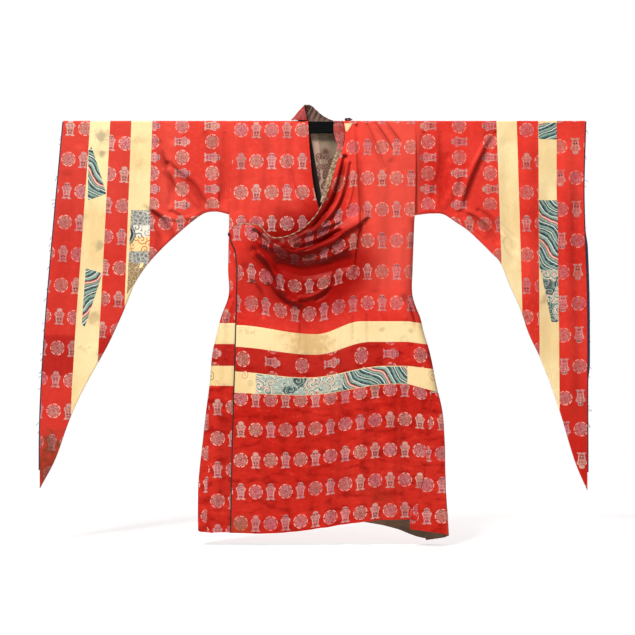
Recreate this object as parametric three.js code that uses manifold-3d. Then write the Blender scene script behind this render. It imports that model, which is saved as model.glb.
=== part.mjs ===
// A cham dance robe hanging on a flat bar: a long red silk robe, lapped to the wearer's right,
// with winged sleeves, cream bands and embroidered patches. The bar runs through both sleeves.
// Millimetres, +Z up. The robe's front faces -Y, and the origin is the middle of the bar.
// Names call the -X side left and the +X side right, as seen from the front.
import * as THREE from "three";
import { mergeVertices } from "three/addons/utils/BufferGeometryUtils.js";
import Module from "manifold-3d";

// ---------------------------------------------------------------- driving dimensions

const CLOTH = 1.5; // lined silk
const SCRAP = 1.0; // embroidered scraps sewn on the bands
const GAP = 0.3; // left between neighbouring pieces
const SIDE_SEAM = 0.8; // half the gap where front and back meet at the side
const SIDE_TURN = 26; // how far in from the side edge the cloth starts to turn
const BAR = { length: 1660, height: 38, depth: 20, corner: 3 };
const CREST = { half: 12.2, top: 21, corner: 5 }; // outside of the cloth where it lies over the bar
const PIPING = 1.6; // radius
const SMALLEST_EDGE = 0.1; // shorter ones are closed up after a cut

// Outer faces of the three body layers, as distances in front of or behind the bar's middle.
const DEPTHS = [
  { z: 16, outer: 12.2, inner: 12.2, back: 12.2 },
  { z: -60, outer: 17, inner: 13.5, back: 14 },
  { z: -150, outer: 21, inner: 15, back: 15 },
  { z: -300, outer: 23, inner: 16, back: 15.5 },
  { z: -600, outer: 24, inner: 18, back: 17 },
  { z: -900, outer: 30, inner: 23, back: 22 },
  { z: -1350, outer: 36, inner: 27, back: 27 },
];

// The body's outline from the shoulders to the hem.
const OUTLINE = [
  { z: 21, left: -293.5, right: 295.5 },
  { z: -283, left: -312, right: 292 },
  { z: -400, left: -315, right: 288 },
  { z: -459, left: -316, right: 286 },
  { z: -563, left: -318, right: 289 },
  { z: -589, left: -328, right: 298 },
  { z: -615, left: -338, right: 309 },
  { z: -667, left: -351, right: 322 },
  { z: -719, left: -364, right: 338 },
  { z: -842, left: -377, right: 364 },
  { z: -927, left: -388, right: 383 },
  { z: -1018, left: -398, right: 390 },
  { z: -1161, left: -413, right: 393 },
  { z: -1350, left: -414, right: 402 },
];

// Edges of the skirt's panels below the lower band, where the side gores are let in.
const SKIRT_EDGES = [
  { z: -840, inner: -376, outer: 348, backLeft: -335, backRight: 325 },
  { z: -900, inner: -378, outer: 342, backLeft: -342, backRight: 335 },
  { z: -1092, inner: -379, outer: 328, backLeft: -360, backRight: 345 },
  { z: -1226, inner: -382, outer: 300, backLeft: -368, backRight: 348 },
  { z: -1350, inner: -385, outer: 296, backLeft: -370, backRight: 352 },
];

// The outer front's neck edge, from the wearer's left shoulder to the side knot and the flap's
// corner, and how far the cloth stands out from the body there.
const NECK_EDGE = [
  { x: 60, z: 60, lift: 0 },
  { x: 60, z: 16, lift: 0 },
  { x: 65, z: -27, lift: 0 },
  { x: 60, z: -59, lift: 1 },
  { x: 52, z: -82, lift: 3 },
  { x: 41, z: -108, lift: 5 },
  { x: 26, z: -160, lift: 8 },
  { x: 10, z: -212, lift: 13 },
  { x: -6, z: -248, lift: 17 },
  { x: -24, z: -283, lift: 20 },
  { x: -45, z: -308, lift: 21 },
  { x: -75, z: -335, lift: 21 },
  { x: -114, z: -355, lift: 20 },
  { x: -149, z: -363, lift: 18 },
  { x: -172, z: -361, lift: 16 },
  { x: -190, z: -348, lift: 12 },
  { x: -208, z: -328, lift: 9 },
  { x: -221, z: -320, lift: 7 },
  { x: -252, z: -317, lift: 5 },
  { x: -280, z: -320, lift: 3 },
  { x: -302, z: -334, lift: 1 },
  { x: -311, z: -344, lift: 0 },
  { x: -400, z: -384, lift: 0 },
];
const FLAP_EDGE = [
  { z: -320, x: -318 },
  { z: -350, x: -313 },
  { z: -367, x: -306 },
  { z: -400, x: -291 },
  { z: -456, x: -284 },
  { z: -563, x: -286 },
  { z: -790, x: -292 },
  { z: -1018, x: -299 },
  { z: -1330, x: -305 },
];

// How far each weft row of the outer front sags below its height at the side.
const SAG = [
  { v: 0, depth: 0, centre: -80, left: 200, right: 200, start: 0, drop: 0 },
  { v: -160, depth: 70, centre: -85, left: 200, right: 195, start: -20, drop: 0 },
  { v: -264, depth: 110, centre: -88, left: 215, right: 200, start: -32, drop: 0 },
  { v: -368, depth: 62, centre: -75, left: 200, right: 195, start: -35, drop: 0 },
  { v: -469, depth: 49, centre: -72, left: 190, right: 190, start: 6, drop: 0 },
  { v: -573, depth: 36, centre: -72, left: 180, right: 195, start: 0, drop: 4 },
  { v: -632, depth: 42, centre: -30, left: 270, right: 150, start: 12, drop: 14 },
  { v: -777, depth: 38, centre: -60, left: 250, right: 260, start: 18, drop: 12 },
  { v: -836, depth: 37, centre: -70, left: 260, right: 300, start: 28, drop: 26 },
  { v: -980, depth: 34, centre: -120, left: 300, right: 340, start: 32, drop: 12 },
  { v: -1275, depth: 45, centre: -200, left: 200, right: 440, start: 42, drop: 4 },
];
const DROP = { from: 270, width: 95 }; // where the rows turn down again towards the side

// Largest folds of the outer front: ridges lift the cloth and troughs lower it.
const FOLDS = [
  { lift: 6, width: 190, path: [[-120, -420], [0, -410]] },
  { lift: 8, width: 36, path: [[96, -316], [31, -371], [-62, -406], [-140, -397], [-183, -390]] },
  { lift: -9, width: 42, path: [[65, -439], [0, -465], [-81, -472], [-140, -449]] },
  { lift: 8, width: 30, path: [[-218, -412], [-183, -439], [-146, -496], [-91, -566]] },
  { lift: -3, width: 22, path: [[101, 3], [117, -296], [97, -469]] },
  { lift: 4, width: 55, path: [[-185, -900], [-190, -1310]] },
  { lift: -4, width: 50, path: [[65, -900], [60, -1290]] },
  { lift: 4, width: 45, path: [[160, -900], [165, -1280]] },
];
const NECK_REACH = 110; // how far from the neck edge its lift fades out
const DEEPEST_TROUGH = 3;

// Edges of the cream bands and the hem. The outer front's are heights at the side.
const TIERS = ["chest", "upper_band", "middle_band", "lower_band", "skirt"];
const OUTER_LINES = [-632, -699, -777, -836, -1275];
const INNER_LINES = [-638, -706, -777, -842, -1318];
const BACK_LINES = [
  { left: -638, right: -645 },
  { left: -706, right: -712 },
  { left: -777, right: -790 },
  { left: -842, right: -863 },
];
const BACK_HEM = [
  { x: -370, z: -1305 },
  { x: -200, z: -1296 },
  { x: 0, z: -1285 },
  { x: 153, z: -1293 },
  { x: 234, z: -1312 },
  { x: 299, z: -1336 },
  { x: 352, z: -1347 },
];
const INNER_NECK = [
  { z: 16, x: -55 },
  { z: -85, x: -49 },
  { z: -212, x: -33 },
  { z: -261, x: -20 },
  { z: -400, x: 60 },
  { z: -560, x: 130 },
  { z: -1350, x: 150 },
];

// Sleeve seams from the body out: where each crosses the bar and where it meets the lower edge.
const SLEEVES = {
  left: {
    seams: [
      { top: -294, low: -313, z: -284 },
      { top: -562, low: -578, z: -446 },
      { top: -630, low: -653, z: -589 },
      { top: -699, low: -738, z: -768 },
      { top: -764, low: -816, z: -940 },
      { top: -851, low: -929, z: -1177 },
    ],
    lowerEdge: [
      [-354, -275], [-393, -280], [-432, -306], [-471, -339], [-510, -374], [-549, -413],
      [-627, -524], [-705, -703], [-783, -862], [-868, -1072],
    ],
  },
  right: {
    seams: [
      { top: 296, low: 292, z: -287 },
      { top: 558, low: 575, z: -446 },
      { top: 624, low: 643, z: -608 },
      { top: 694, low: 699, z: -746 },
      { top: 754, low: 764, z: -922 },
      { top: 847, low: 855, z: -1184 },
    ],
    lowerEdge: [
      [348, -281], [387, -284], [426, -309], [465, -335], [504, -371], [543, -410],
      [601, -511], [660, -660], [738, -846], [816, -1093],
    ],
  },
};
const SLEEVE_PANELS = ["cream_inner", "red_middle", "cream_outer", "cuff"];
const SLEEVE_DEPTH = [
  { z: 16, half: 12.2 },
  { z: -280, half: 11 },
  { z: -600, half: 9.5 },
  { z: -1190, half: 6.5 },
];
const WALL_ROWS = [0.12, 0.38, 0.66, 0.9]; // heights of a sleeve wall's rows, top to bottom
const LOWER_TURN = 9; // height of the fold along a sleeve's lower edge
const GUSSET = { seam: -268, least: 12 }; // height of its upper seam, and its height at the body

// Embroidered scraps on the sleeves: corners from the upper left, turning right and down.
const SCRAPS = {
  left_wave_scrap_upper: [[-763, -66], [-757, -66], [-716, -213], [-766, -236]],
  left_wave_scrap_lower: [[-775, -459], [-729, -475], [-781, -650], [-789, -650]],
  left_brocade_scrap: [[-630, -270], [-570, -270], [-584, -428], [-640, -530]],
  right_wave_scrap_upper: [[697, 10], [752, 10], [753, -38], [697, -38]],
  right_wave_scrap_lower: [[698, -238], [755, -238], [757, -462], [700, -462]],
  right_cloud_scrap: [[702, -466], [757, -466], [758, -634], [736, -634]],
};
const SKIRT_SCRAPS = {
  skirt_cloud_scrap: { from: -225, to: 52 },
  skirt_wave_scrap: { from: 60, to: 267 },
};
const SCRAP_MARGIN = 2;

// The band collar and the neckbands: seam edge and free edge, from the front of the wearer's
// right, over the shoulder and round the back of the neck.
const COLLAR = [
  { seam: [-110, -13.6, 23], free: [-59, -15, 23] },
  { seam: [-109, -9, 26], free: [-63, -15, 45] },
  { seam: [-106, -2, 28], free: [-67, -11, 64] },
  { seam: [-102, 5, 27], free: [-67, -3, 73] },
  { seam: [-92, 11, 25], free: [-60, 6, 75] },
  { seam: [-74, 14.8, 19], free: [-45, 11, 73] },
  { seam: [-48, 14.8, 14.3], free: [-29, 13.4, 59] },
  { seam: [-22, 14, 14.3], free: [-9, 14.4, 42] },
  { seam: [2, 13.4, 14.3], free: [10, 14.4, 31] },
  { seam: [27, 13.4, 14.3], free: [27, 13.8, 24] },
];
const INNER_NECKBAND = [
  { z: 14, seam: -112 },
  { z: -60, seam: -112 },
  { z: -150, seam: -108 },
  { z: -212, seam: -92 },
  { z: -258, seam: -62 },
];
const OUTER_NECKBAND = [
  { z: -27, width: 33 },
  { z: -59, width: 20 },
  { z: -82, width: 14 },
  { z: -108, width: 15 },
  { z: -160, width: 17 },
  { z: -212, width: 15 },
  { z: -246, width: 10 },
];
const NECKBAND_INSET = { edge: 5, behind: 3 };
const CUFF_LINING = { reach: 12, proud: 3, thickness: 1, bottom: 60 };
const SHOULDER_KNOT = { x: 76, z: 24.5, width: 26, height: 9, depth: 12 };
const LOOP_TAB = [[63, 12], [89, 12], [74, -14], [68, -14]];
const SIDE_KNOT = { x: -311, z: -350, size: 10 };

// ---------------------------------------------------------------- materials

const silk = (color, roughness = 0.45) =>
  new THREE.MeshStandardMaterial({ color, roughness, metalness: 0 });
const RED = silk(0xdc4538);
const CREAM = silk(0xf6dcaa, 0.55);
const EMBROIDERY = silk(0x6f8f88, 0.7);
const LINING = silk(0x967a64, 0.8);
const NAVY = silk(0x20223a, 0.7);
const BLACK = silk(0x0d0f10, 0.5);
const MAROON = silk(0x4a141c, 0.7);
const TIER_MATERIALS = [RED, CREAM, RED, CREAM, RED];
const PANEL_MATERIALS = [CREAM, RED, CREAM, RED];

// ---------------------------------------------------------------- small helpers

const { lerp, clamp, smoothstep } = THREE.MathUtils;
const vector = (x, y, z) => new THREE.Vector3(x, y, z);
const bell = (t) => 0.5 + 0.5 * Math.cos(Math.PI * clamp(t, 0, 1));

// One column of a table, read between its rows.
function read(table, key, at, column) {
  const falling = table[0][key] > table.at(-1)[key];
  const next = table.findIndex((row) => (falling ? row[key] <= at : row[key] >= at));
  if (next === 0) return table[0][column];
  if (next === -1) return table.at(-1)[column];
  const [a, b] = [table[next - 1], table[next]];
  return lerp(a[column], b[column], (at - a[key]) / (b[key] - a[key]));
}

// Nearest place on a path of points in X and Z: its distance, the leg it is on and how far along.
function nearest(path, x, z) {
  let best = { distance: Infinity, leg: 0, along: 0 };
  for (let leg = 0; leg + 1 < path.length; leg += 1) {
    const [ax, az] = path[leg];
    const [bx, bz] = path[leg + 1];
    const length = (bx - ax) ** 2 + (bz - az) ** 2;
    const along = clamp(((x - ax) * (bx - ax) + (z - az) * (bz - az)) / length, 0, 1);
    const distance = Math.hypot(x - lerp(ax, bx, along), z - lerp(az, bz, along));
    if (distance < best.distance) best = { distance, leg, along };
  }
  return best;
}

// Fractions from 0 to 1 in equal steps.
const steps = (count) => Array.from({ length: count + 1 }, (_, i) => i / count);

function solid(name, points, triangles, material) {
  let volume = 0;
  for (const [a, b, c] of triangles) volume += points[a].dot(vector().crossVectors(points[b], points[c]));
  const facing = volume < 0 ? triangles.map(([a, b, c]) => [a, c, b]) : triangles;
  const geometry = new THREE.BufferGeometry().setFromPoints(points);
  geometry.setIndex(facing.flat());
  geometry.computeVertexNormals();
  const mesh = new THREE.Mesh(geometry, material);
  mesh.name = name;
  return mesh;
}

// A wall of cloth. The rows hold points on its outer face, and going down the rows and then along
// them turns so that the outer face is on the left hand. A closed wall joins each row's ends.
function wall(name, rows, material, { thickness = CLOTH, closed = false } = {}) {
  const height = rows.length;
  const width = rows[0].length;
  const column = (j) => (closed ? (j + width) % width : clamp(j, 0, width - 1));
  const at = (i, j) => rows[clamp(i, 0, height - 1)][column(j)];
  const inside = (i, j) => {
    const down = at(i + 1, j).clone().sub(at(i - 1, j));
    const along = at(i, j + 1).clone().sub(at(i, j - 1));
    return at(i, j).clone().addScaledVector(down.cross(along).normalize(), -thickness);
  };
  const points = [];
  for (let i = 0; i < height; i += 1) for (let j = 0; j < width; j += 1) points.push(at(i, j));
  for (let i = 0; i < height; i += 1) for (let j = 0; j < width; j += 1) points.push(inside(i, j));
  const outer = (i, j) => i * width + column(j);
  const inner = (i, j) => height * width + outer(i, j);
  const triangles = [];
  const quad = (a, b, c, d) => triangles.push([a, b, c], [a, c, d]);
  const across = closed ? width : width - 1;
  for (let i = 0; i + 1 < height; i += 1) {
    for (let j = 0; j < across; j += 1) {
      quad(outer(i, j), outer(i, j + 1), outer(i + 1, j + 1), outer(i + 1, j));
      quad(inner(i, j), inner(i + 1, j), inner(i + 1, j + 1), inner(i, j + 1));
    }
    if (closed) continue;
    quad(outer(i, 0), outer(i + 1, 0), inner(i + 1, 0), inner(i, 0));
    quad(outer(i, width - 1), inner(i, width - 1), inner(i + 1, width - 1), outer(i + 1, width - 1));
  }
  for (let j = 0; j < across; j += 1) {
    quad(outer(0, j), inner(0, j), inner(0, j + 1), outer(0, j + 1));
    quad(outer(height - 1, j), outer(height - 1, j + 1), inner(height - 1, j + 1), inner(height - 1, j));
  }
  return solid(name, points, triangles, material);
}

const wasm = await Module();
wasm.setup();

function manifoldOf(geometry) {
  const bare = new THREE.BufferGeometry().setAttribute("position", geometry.getAttribute("position"));
  if (geometry.index) bare.setIndex(geometry.index);
  const merged = mergeVertices(bare, 1e-3);
  return new wasm.Manifold(
    new wasm.Mesh({
      numProp: 3,
      vertProperties: merged.attributes.position.array,
      triVerts: new Uint32Array(merged.index.array),
    }),
  );
}

// A mesh with another geometry's solid cut out of it.
function cut(mesh, tool) {
  const left = manifoldOf(mesh.geometry).subtract(manifoldOf(tool)).simplify(SMALLEST_EDGE);
  const { vertProperties, triVerts } = left.getMesh();
  const geometry = new THREE.BufferGeometry();
  geometry.setAttribute("position", new THREE.BufferAttribute(vertProperties, 3));
  geometry.setIndex(new THREE.BufferAttribute(triVerts, 1));
  geometry.computeVertexNormals();
  mesh.geometry = geometry;
  return mesh;
}

// A round cord of piping through a list of points.
function cord(name, path, radius, material) {
  const sides = 6;
  const points = [];
  path.forEach((centre, i) => {
    const ahead = path[Math.min(i + 1, path.length - 1)];
    const behind = path[Math.max(i - 1, 0)];
    const along = ahead.clone().sub(behind).normalize();
    const side = along.clone().cross(vector(0, 1, 0)).normalize();
    const up = side.clone().cross(along);
    for (let k = 0; k < sides; k += 1) {
      const turn = (2 * Math.PI * k) / sides;
      points.push(
        centre.clone().addScaledVector(side, radius * Math.cos(turn)).addScaledVector(up, radius * Math.sin(turn)),
      );
    }
  });
  const triangles = [];
  for (let i = 0; i + 1 < path.length; i += 1) {
    for (let k = 0; k < sides; k += 1) {
      const [a, b] = [i * sides + k, i * sides + ((k + 1) % sides)];
      triangles.push([a, b, b + sides], [a, b + sides, a + sides]);
    }
  }
  const last = (path.length - 1) * sides;
  for (let k = 1; k + 1 < sides; k += 1) {
    triangles.push([0, k + 1, k], [last, last + k, last + k + 1]);
  }
  return solid(name, points, triangles, material);
}

// ---------------------------------------------------------------- the bar and the cloth over it

function bar() {
  const { height, depth, corner, length } = BAR;
  const [w, h] = [depth / 2, height / 2];
  const outline = new THREE.Shape();
  outline.moveTo(-w + corner, -h).lineTo(w - corner, -h);
  outline.absarc(w - corner, -h + corner, corner, -Math.PI / 2, 0);
  outline.absarc(w - corner, h - corner, corner, 0, Math.PI / 2);
  outline.absarc(-w + corner, h - corner, corner, Math.PI / 2, Math.PI);
  outline.absarc(-w + corner, -h + corner, corner, Math.PI, Math.PI * 1.5);
  const geometry = new THREE.ExtrudeGeometry(outline, { depth: length, bevelEnabled: false, curveSegments: 3 });
  geometry.translate(0, 0, -length / 2);
  const basis = new THREE.Matrix4().makeBasis(vector(0, 1, 0), vector(0, 0, 1), vector(1, 0, 0));
  geometry.applyMatrix4(basis);
  const mesh = new THREE.Mesh(geometry, BLACK);
  mesh.name = "bar";
  return mesh;
}

// Section of the cloth over the bar, from the front to the back, as [y, z].
function crest(inset = 0) {
  const radius = CREST.corner - inset;
  const [cy, cz] = [CREST.half - CREST.corner, CREST.top - CREST.corner];
  const corner = (degrees) => {
    const turn = THREE.MathUtils.degToRad(degrees);
    return [cy + radius * Math.cos(turn), cz + radius * Math.sin(turn)];
  };
  const back = [corner(90), corner(45), corner(0)];
  const front = back.map(([y, z]) => [-y, z]).reverse();
  return [...front, ...back];
}

// ---------------------------------------------------------------- the body's surfaces

const depthOf = (layer, z) => read(DEPTHS, "z", z, layer);

// Turns a panel's surface in towards the side seam, 0 at the edge and 1 away from it.
const sideTurn = (inset) => Math.sqrt(1 - (1 - clamp(inset / SIDE_TURN, 0, 1)) ** 2);

// The armholes are open, so the side seam only starts below them.
const ARMHOLE = { seamStarts: 287, seamWhole: 312 };
function turnedDepth(rest, inset, z) {
  const closing = smoothstep(-z, ARMHOLE.seamStarts, ARMHOLE.seamWhole);
  const turned = lerp(SIDE_SEAM, rest, sideTurn(inset));
  return lerp(rest, turned, closing);
}

function sag(x, v) {
  const value = (column) => read(SAG, "v", v, column);
  const away = x - value("centre");
  const hang = bell(Math.abs(away) / value(away < 0 ? "left" : "right"));
  const floor = away < 0 ? value("start") : 0;
  const drop = value("drop") * clamp((x - DROP.from) / DROP.width, 0, 1);
  return lerp(floor, value("depth"), hang) + drop;
}

const NECK_PATH = NECK_EDGE.map(({ x, z }) => [x, z]);

function outerDepth(x, z) {
  const rest = depthOf("outer", z);
  const neck = nearest(NECK_PATH, x, z);
  const lift = lerp(NECK_EDGE[neck.leg].lift, NECK_EDGE[neck.leg + 1].lift, neck.along);
  let relief = lift * bell(neck.distance / NECK_REACH);
  for (const fold of FOLDS) relief += fold.lift * bell(nearest(fold.path, x, z).distance / fold.width);
  return Math.max(rest + Math.max(relief, -DEEPEST_TROUGH), CREST.half);
}

function outerPoint(x, v, inSkirt = false) {
  const z = v - sag(x, v);
  const edge = inSkirt ? read(SKIRT_EDGES, "z", z, "outer") : read(OUTLINE, "z", z, "right");
  const rest = outerDepth(x, z);
  const depth = inSkirt ? rest : turnedDepth(rest, edge - x, z);
  return vector(x, -depth, z);
}

// Where a row of the outer front ends at the side.
function outerSide(v, inSkirt) {
  let x = 300;
  for (let turn = 0; turn < 6; turn += 1) {
    const z = v - sag(x, v);
    x = inSkirt ? read(SKIRT_EDGES, "z", z, "outer") : read(OUTLINE, "z", z, "right");
  }
  return x;
}

// Where a row of the outer front starts on the flap's edge.
function flapStart(v) {
  let x = FLAP_EDGE[0].x;
  for (let turn = 0; turn < 6; turn += 1) x = read(FLAP_EDGE, "z", v - sag(x, v), "x");
  return x;
}

// Places along a row, close together where the cloth turns at a side.
const TURN_STEPS = [0, 2.5, 8, 16, SIDE_TURN];
function places(left, right, count, turnLeft, turnRight) {
  const start = turnLeft ? TURN_STEPS : [0];
  const end = turnRight ? TURN_STEPS : [0];
  const [from, to] = [left + start.at(-1), right - end.at(-1)];
  const middle = steps(count).slice(1, -1).map((t) => lerp(from, to, t));
  return [...start.map((s) => left + s), ...middle, ...end.map((s) => right - s).reverse()];
}

// Rows of a front panel over the bar, from behind it to its front.
const overBar = (xs) => {
  const section = [[CREST.half, 14.3], ...crest().reverse()];
  return section.slice(0, -1).map(([y, z]) => xs.map((x) => vector(x, y, z)));
};

const between = (from, to, count) => steps(count).map((t) => lerp(from, to, t));

// ---------------------------------------------------------------- outer front

// Places along a row of the outer front. All its tiers share the ones left of the turn down.
const OUTER_COLUMNS = 12;
function outerPlaces(start, end, inSkirt) {
  const body = between(start, DROP.from, OUTER_COLUMNS);
  if (inSkirt) return [...body, (DROP.from + end) / 2, end];
  return [...body, ...TURN_STEPS.map((inset) => end - inset).reverse()];
}

function outerRow(v, inSkirt) {
  return outerPlaces(flapStart(v), outerSide(v, inSkirt), inSkirt).map((x) => outerPoint(x, v, inSkirt));
}

// Rows of the chest down to where the flap's edge starts, and from there to the upper band.
const CHEST_ROWS = [16, -50, -110, -170, -215, -250, -285, -320, -355];
const CHEST_LINES = [-392, -430, -470, -510, -550, -590, OUTER_LINES[0] + GAP / 2];

function outerChest() {
  const rows = overBar(outerPlaces(FLAP_EDGE[0].x, outerSide(CHEST_ROWS[0], false), false));
  for (const v of [...CHEST_ROWS, ...CHEST_LINES]) rows.push(outerRow(v, false));
  return cut(wall("outer_front_chest", rows, RED), neckOpening());
}

// What the neck edge cuts out of the outer front, drawn from the front and run through its depth.
function neckOpening() {
  const outline = new THREE.Shape(NECK_PATH.map(([x, z]) => new THREE.Vector2(x, z)));
  outline.lineTo(-400, 60);
  const geometry = new THREE.ExtrudeGeometry(outline, { depth: 200, bevelEnabled: false });
  return geometry.rotateX(Math.PI / 2).translate(0, 100, 0);
}

// Heights of a tier's rows, from one band edge to the next.
function tierLines(lines, index, count) {
  const inSkirt = index === 4;
  return between(lines[index - 1] - GAP / 2, lines[index] + (inSkirt ? 0 : GAP / 2), count);
}

function outerTier(index) {
  const inSkirt = index === 4;
  const rows = tierLines(OUTER_LINES, index, inSkirt ? 6 : 2).map((v) => outerRow(v, inSkirt));
  return wall(`outer_front_${TIERS[index]}`, rows, TIER_MATERIALS[index]);
}

function skirtScrap(name, { from, to }) {
  const [top, bottom] = [OUTER_LINES[2] - SCRAP_MARGIN, OUTER_LINES[3] + SCRAP_MARGIN];
  const rows = between(top, bottom, 2).map((v) =>
    between(from, to, 6).map((x) => outerPoint(x, v).add(vector(0, -(2 * GAP + SCRAP), 0))),
  );
  return wall(name, rows, EMBROIDERY, { thickness: SCRAP });
}

// ---------------------------------------------------------------- inner front

function innerPoint(x, z, inSkirt) {
  const edge = inSkirt ? read(SKIRT_EDGES, "z", z, "inner") : read(OUTLINE, "z", z, "left");
  const rest = depthOf("inner", z);
  return vector(x, -(inSkirt ? rest : turnedDepth(rest, x - edge, z)), z);
}

function innerRow(z, inSkirt) {
  const edge = inSkirt ? read(SKIRT_EDGES, "z", z, "inner") : read(OUTLINE, "z", z, "left");
  return places(edge, read(INNER_NECK, "z", z, "x"), 4, !inSkirt, false);
}

function innerTier(index) {
  const inSkirt = index === 4;
  const name = `inner_front_${TIERS[index]}`;
  if (index === 0) {
    const heights = [16, -85, -212, -284, -298, -312, -430, -563, -589, -615, INNER_LINES[0] + GAP / 2];
    const rows = overBar(innerRow(heights[0], false));
    for (const z of heights) rows.push(innerRow(z, false).map((x) => innerPoint(x, z, false)));
    return wall(name, rows, RED);
  }
  const rows = tierLines(INNER_LINES, index, inSkirt ? 4 : 2).map((z) =>
    innerRow(z, inSkirt).map((x) => innerPoint(x, z, inSkirt)),
  );
  return wall(name, rows, TIER_MATERIALS[index]);
}

// ---------------------------------------------------------------- back

// The height of the back's band edges and hem, by the line's number and the place along it.
function backLine(line, x) {
  if (line === 4) return read(BACK_HEM, "x", x, "z");
  const { left, right } = BACK_LINES[line];
  return lerp(left, right, clamp((x + 350) / 700, 0, 1));
}

function backRow(heightAt, inSkirt) {
  const edgeOf = (side) => {
    let x = side === "left" ? -300 : 300;
    for (let turn = 0; turn < 4; turn += 1) {
      const z = heightAt(x);
      x = inSkirt
        ? read(SKIRT_EDGES, "z", z, side === "left" ? "backLeft" : "backRight")
        : read(OUTLINE, "z", z, side);
    }
    return x;
  };
  const [left, right] = [edgeOf("left"), edgeOf("right")];
  const row = places(left, right, 6, !inSkirt, !inSkirt).map((x) => {
    const z = heightAt(x);
    const rest = depthOf("back", z);
    const inset = Math.min(x - left, right - x);
    return vector(x, inSkirt ? rest : turnedDepth(rest, inset, z), z);
  });
  return row.reverse();
}

function backTier(index) {
  const inSkirt = index === 4;
  const name = `back_${TIERS[index]}`;
  if (index === 0) {
    const heights = [14, -100, -284, -298, -312, -430, -563, -589, -615];
    const rows = heights.map((z) => backRow(() => z, false));
    rows.push(backRow((x) => backLine(0, x) + GAP / 2, false));
    return wall(name, rows, RED);
  }
  const [top, bottom] = [index - 1, index];
  const rows = steps(inSkirt ? 4 : 2).map((t) =>
    backRow((x) => lerp(backLine(top, x) - GAP / 2, backLine(bottom, x) + GAP / 2, t), inSkirt),
  );
  return wall(name, rows, TIER_MATERIALS[index]);
}

// ---------------------------------------------------------------- side gores

// A gore is folded round the skirt's side, with its edges tucked behind the front and the back.
const GORES = {
  left: { side: -1, front: "inner", frontEdge: "inner", backEdge: "backLeft", top: [-843, -843, -843] },
  right: { side: 1, front: "outer", frontEdge: "outer", backEdge: "backRight", top: [-864, -864, -865] },
};
const GORE_HEM = { left: [-1320, -1314, -1308], right: [-1306, -1330, -1349] };
const GORE = { tuck: 22, turn: 8, behind: 2, rows: 6 };

function gore(name) {
  const { side, front, frontEdge, backEdge, top } = GORES[name];
  const hem = GORE_HEM[name];
  const heightOf = (t, place) => lerp(top[place], hem[place], t);
  const rows = steps(GORE.rows).map((t) => {
    const edge = (place, column) => read(SKIRT_EDGES, "z", heightOf(t, place), column);
    const outline = read(OUTLINE, "z", heightOf(t, 1), name === "left" ? "left" : "right");
    const yFront = -depthOf(front, heightOf(t, 0)) + GORE.behind;
    const yBack = depthOf("back", heightOf(t, 2)) - GORE.behind;
    const centre = outline - side * GORE.turn;
    const row = [
      vector(edge(0, frontEdge) - side * GORE.tuck, yFront, heightOf(t, 0)),
      vector(centre - side, yFront, lerp(heightOf(t, 0), heightOf(t, 1), 0.7)),
    ];
    for (const degrees of [-60, -20, 20, 60]) {
      const turn = THREE.MathUtils.degToRad(degrees);
      const z = lerp(heightOf(t, 1), heightOf(t, 2), degrees > 0 ? 0.2 : 0);
      const y = (yFront + yBack) / 2 + ((yBack - yFront) / 2) * Math.sin(turn);
      row.push(vector(centre + side * GORE.turn * Math.cos(turn), y, z));
    }
    row.push(vector(centre - side, yBack, lerp(heightOf(t, 1), heightOf(t, 2), 0.5)));
    row.push(vector(edge(2, backEdge) - side * GORE.tuck, yBack, heightOf(t, 2)));
    return side > 0 ? row : row.reverse();
  });
  return wall(`${name}_gore`, rows, RED);
}

// ---------------------------------------------------------------- sleeves

const halfDepth = (z) => read(SLEEVE_DEPTH, "z", z, "half");

// Section round a sleeve: up its front, over the bar, down its back and under its lower edge.
function sleeveSection(low, inset = 0) {
  const top = CREST.top;
  const heights = WALL_ROWS.map((h) => lerp(top, low, h)).filter((z) => z < 10);
  const back = heights.map((z) => [halfDepth(z) - inset, z]);
  const turn = low + inset;
  const half = halfDepth(turn) - inset;
  const under = [
    [half, turn + LOWER_TURN],
    [half * 0.75, turn + LOWER_TURN * 0.28],
    [0, turn],
    [-half * 0.75, turn + LOWER_TURN * 0.28],
    [-half, turn + LOWER_TURN],
  ];
  const front = back.map(([y, z]) => [-y, z]).reverse();
  return [...front, ...crest(inset), ...back, ...under];
}

// Puts a section on a seam that slants from its place over the bar to its place at the lower edge.
const onSeam = (section, seam) =>
  section.map(([y, z]) => vector(lerp(seam.top, seam.low, (CREST.top - z) / (CREST.top - seam.z)), y, z));

// The columns between two seams, one through each point of the lower edge between them.
function sleeveColumns(side, index) {
  const { seams, lowerEdge } = SLEEVES[side];
  const sign = side === "left" ? -1 : 1;
  const [a, b] = [seams[index], seams[index + 1]];
  const shift = (seam, by) => ({ top: seam.top + by * sign, low: seam.low + by * sign, z: seam.z });
  const inner = lowerEdge
    .filter(([x]) => (x - a.low) * (x - b.low) < 0)
    .map(([x, z]) => ({ top: lerp(a.top, b.top, (x - a.low) / (b.low - a.low)), low: x, z }));
  const columns = [shift(a, GAP / 2), ...inner, shift(b, index === 4 ? 0 : -GAP / 2)];
  return side === "left" ? columns.reverse() : columns;
}

function sleevePanel(side, index) {
  const rows = sleeveColumns(side, index).map((seam) => onSeam(sleeveSection(seam.z), seam));
  return wall(`${side}_sleeve_${SLEEVE_PANELS[index - 1]}`, rows, PANEL_MATERIALS[index - 1], { closed: true });
}

// Height of the seam between the sleeve's upper panel and its gusset.
const gussetTop = (seam) => Math.max(GUSSET.seam, seam.z + GUSSET.least);

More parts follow.
